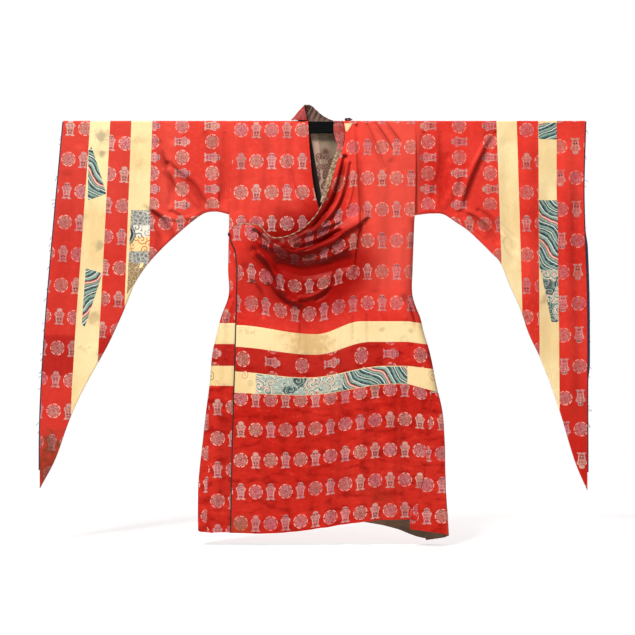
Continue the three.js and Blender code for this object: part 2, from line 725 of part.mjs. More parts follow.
function sleeveUpper(side) {
  const rows = sleeveColumns(side, 0).map((seam) => {
    const heights = [gussetTop(seam) + GAP, -190, -110, -40];
    const front = heights.map((z) => [-halfDepth(z), z]);
    const back = heights.map((z) => [halfDepth(z), z]).reverse();
    return onSeam([...front, ...crest(), ...back], seam);
  });
  return wall(`${side}_sleeve_upper`, rows, RED);
}

function gusset(side) {
  const rows = sleeveColumns(side, 0).map((seam) => {
    const top = gussetTop(seam);
    const turn = Math.min(LOWER_TURN, (top - seam.z) * 0.7);
    const half = halfDepth(seam.z);
    const back = [
      [halfDepth(top), top],
      [half, seam.z + turn],
      [half * 0.75, seam.z + turn * 0.28],
    ];
    const front = back.map(([y, z]) => [-y, z]).reverse();
    return onSeam([...back, [0, seam.z], ...front], seam);
  });
  return wall(`${side}_sleeve_gusset`, rows, RED);
}

function sleeveScrap(name, corners) {
  const [a, b, c, d] = corners;
  const rows = steps(3).map((down) =>
    steps(2).map((along) => {
      const x = lerp(lerp(a[0], b[0], along), lerp(d[0], c[0], along), down);
      const z = lerp(lerp(a[1], b[1], along), lerp(d[1], c[1], along), down);
      return vector(x, -halfDepth(z) - GAP - SCRAP, z);
    }),
  );
  return wall(name, rows, EMBROIDERY, { thickness: SCRAP });
}

// The lining that shows past the end of a cuff.
function cuffLining(side) {
  const sign = side === "left" ? -1 : 1;
  const edge = SLEEVES[side].seams.at(-1);
  const inset = CLOTH + GAP;
  const columns = [-CUFF_LINING.reach, CUFF_LINING.proud].map((by) => ({
    top: edge.top + by * sign,
    low: edge.low + by * sign,
    z: edge.z,
  }));
  const ordered = side === "left" ? columns.reverse() : columns;
  const rows = ordered.map((seam) => onSeam(sleeveSection(edge.z + CUFF_LINING.bottom, inset), seam));
  return wall(`${side}_cuff_lining`, rows, NAVY, { thickness: CUFF_LINING.thickness, closed: true });
}

// ---------------------------------------------------------------- collar, neckbands and trim

function collar() {
  const rows = COLLAR.map(({ seam, free }) =>
    steps(3).map((t) => vector(...free).lerp(vector(...seam), t)),
  );
  return wall("collar", rows, RED);
}

function innerNeckband() {
  const rows = INNER_NECKBAND.map(({ z, seam }) =>
    between(seam, read(INNER_NECK, "z", z, "x"), 2).map((x) =>
      innerPoint(x, z, false).add(vector(0, -GAP - CLOTH, 0)),
    ),
  );
  return wall("inner_neckband", rows, RED);
}

function outerNeckband() {
  const rows = overBar(between(28, NECK_EDGE[0].x - GAP, 2));
  rows.push(between(28, NECK_EDGE[0].x - GAP, 2).map((x) => vector(x, -CREST.half, 16)));
  for (const { z, width } of OUTER_NECKBAND) {
    const edge = read(NECK_EDGE, "z", z, "x");
    const seam = edge - NECKBAND_INSET.edge;
    const depth = outerDepth(edge, z) - NECKBAND_INSET.behind;
    rows.push(between(seam - width, seam, 2).map((x) => vector(x, -depth, z)));
  }
  return wall("outer_neckband", rows, RED);
}

// A path beside an edge, moved out from the cloth by the piping's radius and a gap.
function besideEdge(edge) {
  return edge.map((point, i) => {
    const along = edge[Math.min(i + 1, edge.length - 1)].clone().sub(edge[Math.max(i - 1, 0)]);
    const out = vector(along.z, 0, -along.x).normalize();
    return point.clone().addScaledVector(out, PIPING + 2 * GAP).add(vector(0, CLOTH / 2, 0));
  });
}

function neckPiping() {
  const edge = NECK_EDGE.slice(3, -2).map(({ x, z }) => vector(x, -outerDepth(x, z), z));
  return cord("neck_piping", besideEdge(edge), PIPING, LINING);
}

function flapPiping() {
  const lines = [...CHEST_LINES];
  for (const index of [1, 2, 3, 4]) lines.push(...tierLines(OUTER_LINES, index, index === 4 ? 6 : 2).slice(1));
  const edge = lines.map((v) => outerPoint(flapStart(v), v, true));
  return cord("flap_piping", besideEdge(edge), PIPING, BLACK);
}

function knot(name, width, depth, height, at) {
  const geometry = new THREE.SphereGeometry(0.5, 12, 8).scale(width, depth, height);
  const mesh = new THREE.Mesh(geometry, MAROON);
  mesh.name = name;
  mesh.position.copy(at);
  return mesh;
}

function shoulderKnot() {
  const { x, z, width, depth, height } = SHOULDER_KNOT;
  return knot("shoulder_knot", width, depth, height, vector(x, 0, z + height / 2 - 3.5 + GAP));
}

function sideKnot() {
  const { x, z, size } = SIDE_KNOT;
  return knot("side_knot", size * 0.8, size, size, vector(x, -(outerDepth(x, z) + size / 2 + GAP), z));
}

function loopTab() {
  const [a, b, c, d] = LOOP_TAB;
  const rows = steps(2).map((down) =>
    steps(1).map((along) => {
      const x = lerp(lerp(a[0], b[0], along), lerp(d[0], c[0], along), down);
      const z = lerp(lerp(a[1], b[1], along), lerp(d[1], c[1], along), down);
      return vector(x, -depthOf("outer", z) - GAP - SCRAP - 0.4, z);
    }),
  );
  return wall("loop_tab", rows, CREAM, { thickness: SCRAP });
}

// ---------------------------------------------------------------- the whole robe

const robe = new THREE.Group();
robe.add(bar());
robe.add(outerChest());
for (const index of [1, 2, 3, 4]) robe.add(outerTier(index));
for (const index of [0, 1, 2, 3, 4]) robe.add(innerTier(index), backTier(index));
for (const name of ["left", "right"]) {
  robe.add(gore(name), sleeveUpper(name), gusset(name), cuffLining(name));
  for (const index of [1, 2, 3, 4]) robe.add(sleevePanel(name, index));
}
for (const [name, corners] of Object.entries(SCRAPS)) robe.add(sleeveScrap(name, corners));
for (const [name, span] of Object.entries(SKIRT_SCRAPS)) robe.add(skirtScrap(name, span));
robe.add(collar(), innerNeckband(), outerNeckband(), neckPiping(), flapPiping());
robe.add(shoulderKnot(), sideKnot(), loopTab());

export default robe;
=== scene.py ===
"""A cham dance robe hanging on a flat bar: lapped red damask with cream bands, embroidered scraps,
winged sleeves, a band collar and a sagging drape under the neck. Tables and shapes are
in millimetres, places in materials are in metres."""

import math

import bpy
import numpy as np
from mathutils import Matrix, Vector


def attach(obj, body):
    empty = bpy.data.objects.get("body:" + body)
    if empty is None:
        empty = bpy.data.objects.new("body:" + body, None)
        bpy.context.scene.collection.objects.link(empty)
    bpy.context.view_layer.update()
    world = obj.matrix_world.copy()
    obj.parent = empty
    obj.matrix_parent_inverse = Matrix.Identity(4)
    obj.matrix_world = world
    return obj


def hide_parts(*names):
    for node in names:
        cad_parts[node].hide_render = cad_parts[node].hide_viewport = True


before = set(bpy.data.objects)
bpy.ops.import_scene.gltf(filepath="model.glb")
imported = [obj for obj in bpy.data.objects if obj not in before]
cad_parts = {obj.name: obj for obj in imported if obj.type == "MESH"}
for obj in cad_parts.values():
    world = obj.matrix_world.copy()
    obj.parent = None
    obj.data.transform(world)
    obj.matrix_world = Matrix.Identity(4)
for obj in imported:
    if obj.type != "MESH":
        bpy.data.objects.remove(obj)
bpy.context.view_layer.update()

MM = 0.001
CLOTH = 1.5  # mm, its thickness

# ---------------------------------------------------------------- tables


def table(names, *rows):
    values = np.array(rows, float)
    return {name: values[:, i] for i, name in enumerate(names.split())}


# How far each layer of the body hangs from the bar's middle.
DEPTHS = table(
    "z outer inner back",
    (16, 12.2, 12.2, 12.2),
    (-60, 17, 13.5, 14),
    (-150, 21, 15, 15),
    (-300, 23, 16, 15.5),
    (-600, 24, 18, 17),
    (-900, 30, 23, 22),
    (-1350, 36, 27, 27),
)
# The body's sides and the skirt's.
OUTLINE = table(
    "z left right",
    (21, -293.5, 295.5),
    (-283, -312, 292),
    (-400, -315, 288),
    (-459, -316, 286),
    (-563, -318, 289),
    (-589, -328, 298),
    (-615, -338, 309),
    (-667, -351, 322),
    (-719, -364, 338),
    (-842, -377, 364),
    (-927, -388, 383),
    (-1018, -398, 390),
    (-1161, -413, 393),
    (-1350, -414, 402),
)
# X of the skirt panels' side edges.
SKIRT_EDGES = table(
    "z inner outer back_left back_right",
    (-840, -376, 348, -335, 325),
    (-900, -378, 342, -342, 335),
    (-1092, -379, 328, -360, 345),
    (-1226, -382, 300, -368, 348),
    (-1350, -385, 296, -370, 352),
)
# The outer front's neck edge, and how far the cloth stands out from the body there.
NECK_EDGE = table(
    "x z lift",
    (60, 60, 0),
    (60, 16, 0),
    (65, -27, 0),
    (60, -59, 1),
    (52, -82, 3),
    (41, -108, 5),
    (26, -160, 8),
    (10, -212, 13),
    (-6, -248, 17),
    (-24, -283, 20),
    (-45, -308, 21),
    (-75, -335, 21),
    (-114, -355, 20),
    (-149, -363, 18),
    (-172, -361, 16),
    (-190, -348, 12),
    (-208, -328, 9),
    (-221, -320, 7),
    (-252, -317, 5),
    (-280, -320, 3),
    (-302, -334, 1),
    (-311, -344, 0),
    (-400, -384, 0),
)
# The outer front's straight edge.
FLAP_EDGE = table(
    "z x",
    (-320, -318),
    (-350, -313),
    (-367, -306),
    (-400, -291),
    (-456, -284),
    (-563, -286),
    (-790, -292),
    (-1018, -299),
    (-1330, -305),
)
# How far each weft row of the outer front sags below its height at the side.
SAG = table(
    "v depth centre left right start drop",
    (0, 0, -80, 200, 200, 0, 0),
    (-160, 70, -85, 200, 195, -20, 0),
    (-264, 110, -88, 215, 200, -32, 0),
    (-368, 62, -75, 200, 195, -35, 0),
    (-469, 49, -72, 190, 190, 6, 0),
    (-573, 36, -72, 180, 195, 0, 4),
    (-632, 42, -30, 270, 150, 12, 14),
    (-777, 38, -60, 250, 260, 18, 12),
    (-836, 37, -70, 260, 300, 28, 26),
    (-980, 34, -120, 300, 340, 32, 12),
    (-1275, 45, -200, 200, 440, 42, 4),
)
DROP = {"from": 270, "width": 95}
# The inner front's edge, from the shoulder down behind the outer one.
INNER_NECK = table(
    "z x", (16, -55), (-85, -49), (-212, -33), (-261, -20), (-400, 60), (-560, 130), (-1350, 150)
)
# Z of each seam line and the hem, and of the back's at both sides.
OUTER_LINES = [-632, -699, -777, -836, -1275]
INNER_LINES = [-638, -706, -777, -842, -1318]
BACK_LINES = [(-638, -645), (-706, -712), (-777, -790), (-842, -863)]
BACK_HEM = table(
    "x z",
    (-370, -1305),
    (-200, -1296),
    (0, -1285),
    (153, -1293),
    (234, -1312),
    (299, -1336),
    (352, -1347),
)
TIERS = ["chest", "upper_band", "middle_band", "lower_band", "skirt"]
NECK_REACH = 92
PROUD = 50  # the cowl's folds are flattened beyond this depth
# The section of the cloth over the bar: half its depth, its top and the radius of its corners.
CREST = {"half": 12.2, "top": 21, "corner": 5}
FRONT_TOP = 16  # where the fronts come down from it
WALL_TOP = 14  # where the back and the sleeves do
BEHIND_TOP = 14.3  # where the fronts end behind the bar
SIDE = {"gap": 0.8, "turn": 26}
ARMHOLE_END = 287  # below the bar; from there the side seams close the body

# Folds: how far the ridge or trough stands off the cloth, its reach to the left and to the right
# of the path as it runs, and the path in X and Z.
OUTER_FOLDS = [
    (6, 190, 190, [(-120, -420), (0, -410)]),
    (12, 12, 44, [(118, -309), (97, -322), (55, -348), (31, -371), (-16, -391), (-62, -404),
        (-109, -405), (-140, -397), (-183, -391)]),
    (-10, 12, 13, [(46, -341), (0, -364), (-46, -385), (-94, -394)]),
    (-9, 9, 11, [(0, -280), (-46, -341), (-88, -366), (-124, -380)]),
    (-9, 13, 14, [(-228, -341), (-202, -366), (-183, -384)]),
    (-14, 40, 44, [(65, -439), (0, -458), (-72, -469), (-140, -452)]),
    (11, 15, 26, [(-218, -412), (-183, -439), (-159, -474), (-146, -496), (-127, -545), (-91, -566)]),
    (-5, 18, 14, [(-234, -404), (-205, -439), (-183, -476)]),
    (-5, 18, 18, [(-234, -511), (-211, -549), (-202, -611)]),
    (-5, 14, 16, [(-183, -517), (-159, -549), (-127, -576)]),
    (3, 4, 6, [(-172, -381), (-133, -391), (-101, -368), (-62, -348), (-29, -319), (-10, -293)]),
    (-5, 5, 7, [(-114, -400), (-75, -404), (-33, -387), (-3, -368), (20, -352)]),
    (-4, 16, 12, [(29, -417), (36, -449), (29, -495), (3, -540), (-29, -560)]),
    (3, 5, 9, [(-196, -420), (-176, -452), (-164, -486)]),
    (-3, 5, 6, [(-150, -420), (-110, -428), (-60, -426), (-10, -414)]),
    (3, 6, 9, [(-20, -432), (30, -418), (76, -392)]),
    (2.5, 5, 7, [(-128, -588), (-100, -566), (-60, -560)]),
    (-3, 5, 7, [(84, -120), (76, -180), (58, -240), (24, -300)]),
    (3, 5, 9, [(96, -150), (88, -210), (74, -262)]),
    (-2.6, 4, 5, [(-81, -625), (-80, -722)]),
    (-2.6, 4, 5, [(91, -620), (92, -715)]),
    (-2.6, 4, 5, [(136, -615), (138, -712)]),
    (3.5, 8, 10, [(-140, -534), (-94, -549)]),
    (3.5, 8, 10, [(-121, -561), (-78, -577)]),
    (6, 9, 14, [(-84, -555), (-40, -549), (16, -517)]),
    (-6, 12, 7, [(101, 3), (110, -140), (117, -296), (107, -384), (98, -469)]),
    (-3, 9, 9, [(162, 12), (192, -30), (218, -75)]),
    (-3, 9, 12, [(136, 6), (166, -62), (192, -134)]),
    (-2.5, 8, 8, [(198, 12), (244, -49)]),
    (-15, 9, 12, [(66, -100), (57, -140), (45, -186), (26, -238), (6, -272)]),
    (7, 10, 11, [(74, -114), (62, -180), (40, -250), (0, -306), (-62, -350), (-127, -378)]),
    (6, 9, 16, [(44, -309), (-44, -344), (-90, -372), (-140, -386)]),
    (3, 26, 26, [(150, -150), (170, -330), (160, -520)]),
    (-5, 5, 6, [(288, -556), (302, -592), (326, -640)]),
    (3, 5, 6, [(280, -566), (294, -604), (312, -650)]),
    (-4, 5, 6, [(270, -572), (284, -612), (296, -656)]),
    (-3, 30, 22, [(215, -120), (205, -300), (216, -560)]),
    (3, 20, 30, [(250, -330), (246, -480), (262, -620)]),
    (-3, 25, 25, [(-262, -460), (-258, -620)]),
    (-3, 30, 20, [(-60, -600), (-52, -760), (-58, -860)]),
    (2.5, 18, 24, [(36, -560), (44, -760), (40, -850)]),
    (8, 40, 36, [(-205, -862), (-211, -1050), (-218, -1318)]),
    (-5, 22, 28, [(-136, -872), (-120, -953), (-114, -1318)]),
    (-6, 30, 26, [(-55, -881), (-42, -1018), (-23, -1310)]),
    (6, 24, 24, [(12, -880), (10, -1040), (6, -1306)]),
    (-6, 18, 24, [(65, -862), (58, -1050), (49, -1300)]),
    (7, 28, 30, [(118, -870), (112, -1060), (108, -1296)]),
    (-6, 22, 26, [(168, -862), (176, -1050), (179, -1290)]),
    (7, 24, 26, [(214, -860), (216, -1050), (214, -1290)]),
    (-6, 26, 18, [(262, -860), (258, -1050), (262, -1290)]),
]
INNER_FOLDS = [
    (-3, 12, 12, [(-118, 6), (-117, -60), (-113, -140), (-98, -215)]),
    (2, 8, 8, [(-110, 10), (-108, -60), (-104, -140), (-90, -200)]),
    (-2.5, 20, 16, [(-196, 10), (-190, -140), (-204, -290)]),
    (2.5, 22, 22, [(-160, -10), (-152, -160), (-170, -300)]),
    (-3, 14, 20, [(-272, 8), (-262, -120), (-280, -270)]),
    (-3, 16, 16, [(-306, -560), (-318, -700), (-330, -840)]),
    (-2.5, 5, 6, [(-310, -556), (-324, -590), (-344, -640)]),
    (3, 5, 6, [(-302, -566), (-314, -604), (-330, -650)]),
    (-2.5, 5, 6, [(-296, -574), (-304, -612), (-314, -656)]),
    (4, 20, 20, [(-350, -850), (-352, -1040), (-356, -1318)]),
    (-4, 16, 22, [(-322, -850), (-324, -1080), (-330, -1318)]),
]
BACK_FOLDS = [
    (4, 60, 50, [(-190, -60), (-160, -330), (-176, -620)]),
    (-4, 50, 50, [(-80, -110), (-66, -380), (-90, -640)]),
    (4, 55, 50, [(40, -70), (52, -360), (36, -640)]),
    (-4, 45, 55, [(150, -140), (164, -400), (150, -640)]),
    (3, 30, 30, [(226, -70), (236, -330), (228, -620)]),
    (-4, 14, 18, [(250, -30), (190, -120), (140, -190)]),
    (-4, 14, 18, [(-246, -36), (-200, -110), (-150, -160)]),
    (-3, 12, 14, [(-236, -420), (-150, -470), (-60, -480)]),
    (3, 14, 18, [(-180, -520), (-90, -556), (10, -540)]),
    (4, 35, 35, [(-270, -720), (-286, -1000), (-300, -1310)]),
    (-4.5, 30, 34, [(-196, -700), (-210, -1000), (-222, -1310)]),
    (4.5, 36, 32, [(-116, -690), (-120, -1000), (-128, -1310)]),
    (-4.5, 34, 34, [(-30, -700), (-28, -1000), (-36, -1300)]),
    (4.5, 34, 36, [(62, -690), (68, -1000), (60, -1300)]),
    (-4.5, 32, 34, [(146, -700), (158, -1000), (160, -1310)]),
    (4.5, 32, 32, [(222, -700), (240, -1000), (250, -1320)]),
    (-4, 24, 26, [(288, -740), (300, -1000), (312, -1330)]),
]
SLEEVE_FOLDS = {
    "left": [
        (-6.5, 9, 12, [(-510, -120), (-470, -158), (-432, -188), (-398, -238), (-370, -282)]),
        (4, 12, 9, [(-520, -140), (-480, -184), (-446, -214), (-412, -256), (-392, -284)]),
        (-5, 7, 9, [(-540, -50), (-524, -112), (-500, -180), (-502, -250)]),
        (3, 6, 8, [(-530, -70), (-512, -120), (-486, -170)]),
        (-3, 6, 8, [(-350, -40), (-338, -120), (-332, -190), (-340, -280)]),
        (3, 6, 7, [(-362, -120), (-350, -200), (-352, -270)]),
        (-6, 8, 10, [(-590, -262), (-535, -300), (-496, -352), (-480, -400)]),
        (3.5, 9, 8, [(-560, -266), (-500, -296), (-440, -296), (-380, -262)]),
        (-3.5, 8, 9, [(-560, -330), (-540, -372), (-560, -440)]),
        (-3.5, 7, 9, [(-500, -276), (-440, -306), (-390, -292)]),
        (2.5, 14, 14, [(-492, -60), (-476, -160), (-452, -250)]),
        (-3, 12, 12, [(-326, 10), (-322, -120), (-330, -262)]),
        (-3, 22, 26, [(-600, -60), (-604, -220), (-612, -440)]),
        (3, 26, 26, [(-664, -60), (-676, -260), (-690, -560)]),
        (-3, 20, 24, [(-732, -100), (-742, -360), (-760, -700)]),
        (2.5, 22, 22, [(-800, -80), (-808, -420), (-846, -900)]),
        (-2.5, 16, 18, [(-838, -160), (-850, -420), (-878, -860)]),
        (-2, 14, 14, [(-780, -300), (-800, -560), (-830, -820)]),
        (-2.5, 9, 12, [(-405, 8), (-372, -60), (-360, -140)]),
    ],
    "right": [
        (-6, 8, 11, [(556, -20), (520, -90), (492, -152), (466, -224), (450, -290)]),
        (3.5, 11, 8, [(536, -30), (498, -100), (470, -160), (444, -230)]),
        (-3, 6, 9, [(376, 30), (380, -90), (378, -200), (384, -300)]),
        (-2, 5, 7, [(566, -310), (598, -338), (622, -362)]),
        (-2, 5, 7, [(574, -356), (602, -384), (628, -404)]),
        (-5, 7, 9, [(440, -276), (486, -296), (530, -330), (560, -372)]),
        (3.5, 8, 8, [(430, -290), (476, -318), (520, -356)]),
        (-3.5, 6, 8, [(500, -270), (540, -296), (570, -340)]),
        (-3, 12, 12, [(322, 6), (318, -120), (326, -262)]),
        (-3, 12, 14, [(400, -96), (372, -170), (346, -244)]),
        (3, 14, 14, [(430, -150), (414, -210), (386, -258)]),
        (-1.8, 24, 22, [(592, -60), (594, -240), (604, -440)]),
        (2, 26, 26, [(660, -60), (662, -280), (670, -560)]),
        (-1.8, 22, 22, [(724, -200), (726, -420), (732, -760)]),
        (2, 22, 22, [(786, -80), (786, -420), (800, -900)]),
        (-2, 16, 18, [(822, -160), (820, -420), (834, -860)]),
        (-2, 4, 5, [(572, -322), (596, -350), (624, -396)]),
        (-1.6, 4, 5, [(584, -380), (600, -408), (618, -440)]),
        (-2.5, 10, 10, [(540, 10), (526, -60), (530, -130)]),
    ],
}

# Sleeve seams from the body out: where each crosses the bar and where it meets the lower edge.
SLEEVE_SEAMS = {
    "left": [
        (-294, -313, -284), (-562, -578, -446), (-630, -653, -589), (-699, -738, -768),
        (-764, -816, -940), (-851, -929, -1177),
    ],
    "right": [
        (296, 292, -287), (558, 575, -446), (624, 643, -608), (694, 699, -746), (754, 764, -922),
        (847, 855, -1184),
    ],
}
# X and Z along the sleeves' lower edge, between the seams.
LOWER_EDGE = {
    "left": [
        (-354, -275), (-393, -280), (-432, -306), (-471, -339), (-510, -374), (-549, -413),
        (-627, -524), (-705, -703), (-783, -862), (-868, -1072),
    ],
    "right": [
        (348, -281), (387, -284), (426, -309), (465, -335), (504, -371), (543, -410), (601, -511),
        (660, -660), (738, -846), (816, -1093),
    ],
}
# How far the cuff's edge lies outside the straight line from its top to its point.
CUFF_BOW = {
    "left": table(
        "z out", (21, 0), (-238, -7), (-433, -12), (-693, -16), (-953, -13), (-1135, -3), (-1177, 0)
    ),
    "right": table("z out", (21, 0), (-200, -7), (-540, 2), (-900, 1), (-1184, 0)),
}
# Each panel's first seam, its cut length round the sleeve and cut width in metres, and the share of
# the cloth left when its ends are cut to shape.
SLEEVE_PANELS = {
    "upper": (0, 0.6, 0.28, 0.95),
    "gusset": (0, 0.36, 0.28, 0.4),
    "cream_inner": (1, 1.28, 0.07, 0.87),
    "red_middle": (2, 1.62, 0.08, 0.85),
    "cream_outer": (3, 1.96, 0.075, 0.82),
    "cuff": (4, 2.44, 0.11, 0.79),
}
SLEEVE_DEPTH = table("z half", (16, 12.2), (-280, 11), (-600, 9.5), (-1190, 6.5))
LOWER_TURN = 9  # from a wall's end down to the edge where it turns under
GUSSET = {"seam": -268, "least": 12}

# Corners of the embroidered scraps on the sleeves, in X and Z.
SCRAPS = {
    "left_wave_scrap_upper": [(-770, -78), (-760, -62), (-712, -216), (-772, -238)],
    "left_wave_scrap_lower": [(-779, -459), (-725, -476), (-783, -650), (-792, -640)],
    "left_brocade_scrap": [(-631, -270), (-569, -270), (-572, -436), (-645, -545)],
    "right_wave_scrap_upper": [(695, 14), (753.5, 14), (754.5, -40), (695.5, -38)],
    "right_wave_scrap_lower": [(696, -238), (757, -238), (759, -464), (698.5, -464)],
    "right_cloud_scrap": [(702, -464), (759, -464), (761, -634), (738, -634)],
}

# The collar from the neck round the shoulder: points on its seam and on its free edge.
COLLAR = [
    ((-110, -13.6, 23), (-59, -15, 23)),
    ((-109, -9, 26), (-63, -15, 45)),
    ((-106, -2, 28), (-67, -11, 64)),
    ((-102, 5, 27), (-67, -3, 73)),
    ((-92, 11, 25), (-60, 6, 75)),
    ((-74, 14.8, 19), (-45, 11, 73)),
    ((-48, 14.8, 14.3), (-29, 13.4, 59)),
    ((-22, 14, 14.3), (-9, 14.4, 42)),
    ((2, 13.4, 14.3), (10, 14.4, 31)),
    ((27, 13.4, 14.3), (27, 13.8, 24)),
]
INNER_NECKBAND = table("z seam", (14, -112), (-60, -112), (-150, -108), (-212, -92), (-258, -62))
OUTER_NECKBAND = table(
    "z width", (16, 32), (-27, 33), (-59, 20), (-82, 14), (-108, 15), (-160, 17), (-212, 15), (-246, 10)
)
# Each gore's side, the front it hangs behind, its cut width in metres, and its top and hem at the
# front, the side and the back.
GORES = {
    "left": (-1, "inner", 0.15, (-843, -843, -843), (-1320, -1314, -1308)),
    "right": (1, "outer", 0.2, (-864, -864, -865), (-1306, -1330, -1349)),
}

# ---------------------------------------------------------------- shape helpers


def read(rows, key, at, column):
    """One column of a table between its rows."""
    order = np.argsort(rows[key])
    return np.interp(at, rows[key][order], rows[column][order])


def flow(rows, key, at, column):
    """One column of a table, read along a smooth curve through its rows."""
    order = np.argsort(rows[key])
    x, y = rows[key][order], rows[column][order]
    slope = np.gradient(y, x)
    at = np.clip(at, x[0], x[-1])
    i = np.clip(np.searchsorted(x, at) - 1, 0, len(x) - 2)
    h = x[i + 1] - x[i]
    t = (at - x[i]) / h
    return (
        (1 + 2 * t) * (1 - t) ** 2 * y[i]
        + t * (1 - t) ** 2 * h * slope[i]
        + t * t * (3 - 2 * t) * y[i + 1]
        + t * t * (t - 1) * h * slope[i + 1]
    )


def bell(t):
    """1 at 0, falling smoothly to 0 at 1."""
    return 0.5 + 0.5 * np.cos(np.pi * np.clip(t, 0, 1))


def lerp(a, b, t):
    return a + (b - a) * t


def smoothstep(t):
    t = np.clip(t, 0, 1)
    return t * t * (3 - 2 * t)


def curved(path, each=6):
    """A path's points joined by a smooth curve."""
    p = np.asarray(path, float)
    if len(p) < 3:
        return p
    ends = np.vstack([2 * p[0] - p[1], p, 2 * p[-1] - p[-2]])
    out = []
    for i in range(1, len(ends) - 2):
        a, b, c, d = ends[i - 1 : i + 3]
        for t in np.arange(each) / each:
            bend = (2 * a - 5 * b + 4 * c - d) * t**2 + (3 * b - a - 3 * c + d) * t**3
            out.append(0.5 * (2 * b + (c - a) * t + bend))
    out.append(p[-1])
    return np.array(out)


def nearest(path, x, z):
    """Distance to a path, its side (+1 on the left as the path runs) and the place along it."""
    x, z = np.asarray(x, float), np.asarray(z, float)
    best = np.full(x.shape, np.inf)
    side = np.ones(x.shape)
    place = np.zeros(x.shape)
    for leg in range(len(path) - 1):
        (ax, az), (bx, bz) = path[leg][:2], path[leg + 1][:2]
        dx, dz = bx - ax, bz - az
        t = np.clip(((x - ax) * dx + (z - az) * dz) / (dx * dx + dz * dz), 0, 1)
        ox, oz = x - (ax + dx * t), z - (az + dz * t)
        distance = np.hypot(ox, oz)
        closer = distance < best
        best = np.where(closer, distance, best)
        side = np.where(closer, np.where(dx * oz - dz * ox > 0, 1.0, -1.0), side)
        place = np.where(closer, leg + t, place)
    return best, side, place


class Folds:
    """The folds of one sheet, with every fold's reach widened by spread."""

    def __init__(self, rows, spread=1.0):
        self.rows = [(lift, a * spread, b * spread, curved(path)) for lift, a, b, path in rows]
        self.spread = spread

    def at(self, x, z):
        """How far the folds stand off the cloth."""
        total = np.zeros(np.shape(x))
        for lift, left, right, path in self.rows:
            distance, side, _ = nearest(path, x, z)
            total = total + lift * bell(distance / np.where(side > 0, left, right))
        return total

    def trough_shade(self, x, z):
        """Painted shade in the troughs: darkest in the narrow ones, and less towards their ends."""
        total = np.zeros(np.shape(x))
        for lift, left, right, path in self.rows:
            if lift < 0:
                distance, side, place = nearest(path, x, z)
                share = place / (len(path) - 1)
                ends = smoothstep(share / 0.3) * smoothstep((1 - share) / 0.3)
                depth = -2.0 * self.spread * lift / (left + right)
                reach = 1.8 * np.where(side > 0, left, right)
                total = np.maximum(total, depth * ends * bell(distance / reach))
        return np.clip(total, 0, 1)


outer_folds = Folds(OUTER_FOLDS)
inner_folds = Folds(INNER_FOLDS)
back_folds = Folds(BACK_FOLDS)
sleeve_folds = {side: Folds(rows, spread=1.5) for side, rows in SLEEVE_FOLDS.items()}

# ---------------------------------------------------------------- the body's surfaces

FINE_NECK = curved(np.column_stack([NECK_EDGE["x"], NECK_EDGE["z"], NECK_EDGE["lift"]])[1:-1], 5)
FINE_NECK = np.vstack([[60, 60, 0], FINE_NECK, [-400, -384, 0]])


def turned(rest, inset, z):
    """A panel's depth where it turns in to its side seam, below the armhole."""
    turn = np.sqrt(1 - (1 - np.clip(inset / SIDE["turn"], 0, 1)) ** 2)
    closing = smoothstep((-z - ARMHOLE_END) / 25)
    return lerp(rest, lerp(SIDE["gap"], rest, turn), closing)


def sag(x, v):
    """How far the outer front's weft row v hangs below its height at the side."""

    def value(column):
        return flow(SAG, "v", v, column)

    away = x - value("centre")
    hang = bell(np.abs(away) / np.where(away < 0, value("left"), value("right")))
    floor = np.where(away < 0, value("start"), 0)
    drop = value("drop") * np.clip((x - DROP["from"]) / DROP["width"], 0, 1)
    return lerp(floor, value("depth"), hang) + drop


def ripple(x, z, amount):
    """Small uneven waves that no cloth hangs without."""
    return amount * (
        0.5 * np.sin(x / 31 + 0.6 * np.sin(z / 83))
        + 0.3 * np.sin(x / 17.3 + z / 61 + 1.7)
        + 0.35 * np.sin(z / 23.7 + 0.9 * np.sin(x / 57))
    )


def seam_dip(z, lines):
    return sum(-0.9 * bell(np.abs(z - line) / 5) for line in lines)


def cowl(x, z):
    """How far the sagging neck edge holds the cloth out, and the distance from that edge."""
    distance, _, place = nearest(FINE_NECK[:, :2], x, z)
    lift = np.interp(place, np.arange(len(FINE_NECK)), FINE_NECK[:, 2])
    return lift * bell(distance / NECK_REACH), distance


def outer_relief(x, z):
    return cowl(x, z)[0] + outer_folds.at(x, z) * 1.15


def outer_depth(x, z):
    fade = smoothstep((16 - z) / 60)
    relief = np.maximum(outer_relief(x, z), -5.5) + ripple(x, z, 0.8) * fade
    depth = flow(DEPTHS, "z", z, "outer") + relief
    depth = depth - 0.65 * np.maximum(depth - PROUD, 0)
    return np.maximum(depth, CREST["half"] + 0.2 * fade)


def creases(folds, x, z, relief=None, steep=0.55):
    """Painted shade in the troughs and on the undersides of the folds, 0 to 1."""
    relief = relief or folds.at
    under = (relief(x, z + 5) - relief(x, z - 5)) / 10
    return np.clip(0.8 * folds.trough_shade(x, z) + 0.9 * smoothstep(under / steep), 0, 1)


# Painted shade on the outer front: in its folds, and darkest just inside the sagging neck edge where the
# cloth rolls under.
def outer_creases(x, z):
    lift, distance = cowl(x, z)
    rolled_edge_shade = bell(distance / 42) * smoothstep((lift - 4) / 12)
    folded = creases(outer_folds, x, z, outer_relief) * lerp(1, 0.45, smoothstep((-z - 650) / 60))
    return np.maximum(folded, 0.95 * rolled_edge_shade)


def meet(start, v, edge):
    """X where the outer front's sagging row v meets an edge, found in a few steps from a start."""
    x = np.full(np.shape(v), start)
    for _ in range(6):
        x = edge(v - sag(x, v))
    return x


def outer_side(v, skirt):
    if skirt:
        return meet(300.0, v, lambda z: read(SKIRT_EDGES, "z", z, "outer"))
    return meet(300.0, v, lambda z: flow(OUTLINE, "z", z, "right"))


def flap_start(v):
    return meet(-300.0, v, lambda z: read(FLAP_EDGE, "z", z, "x"))


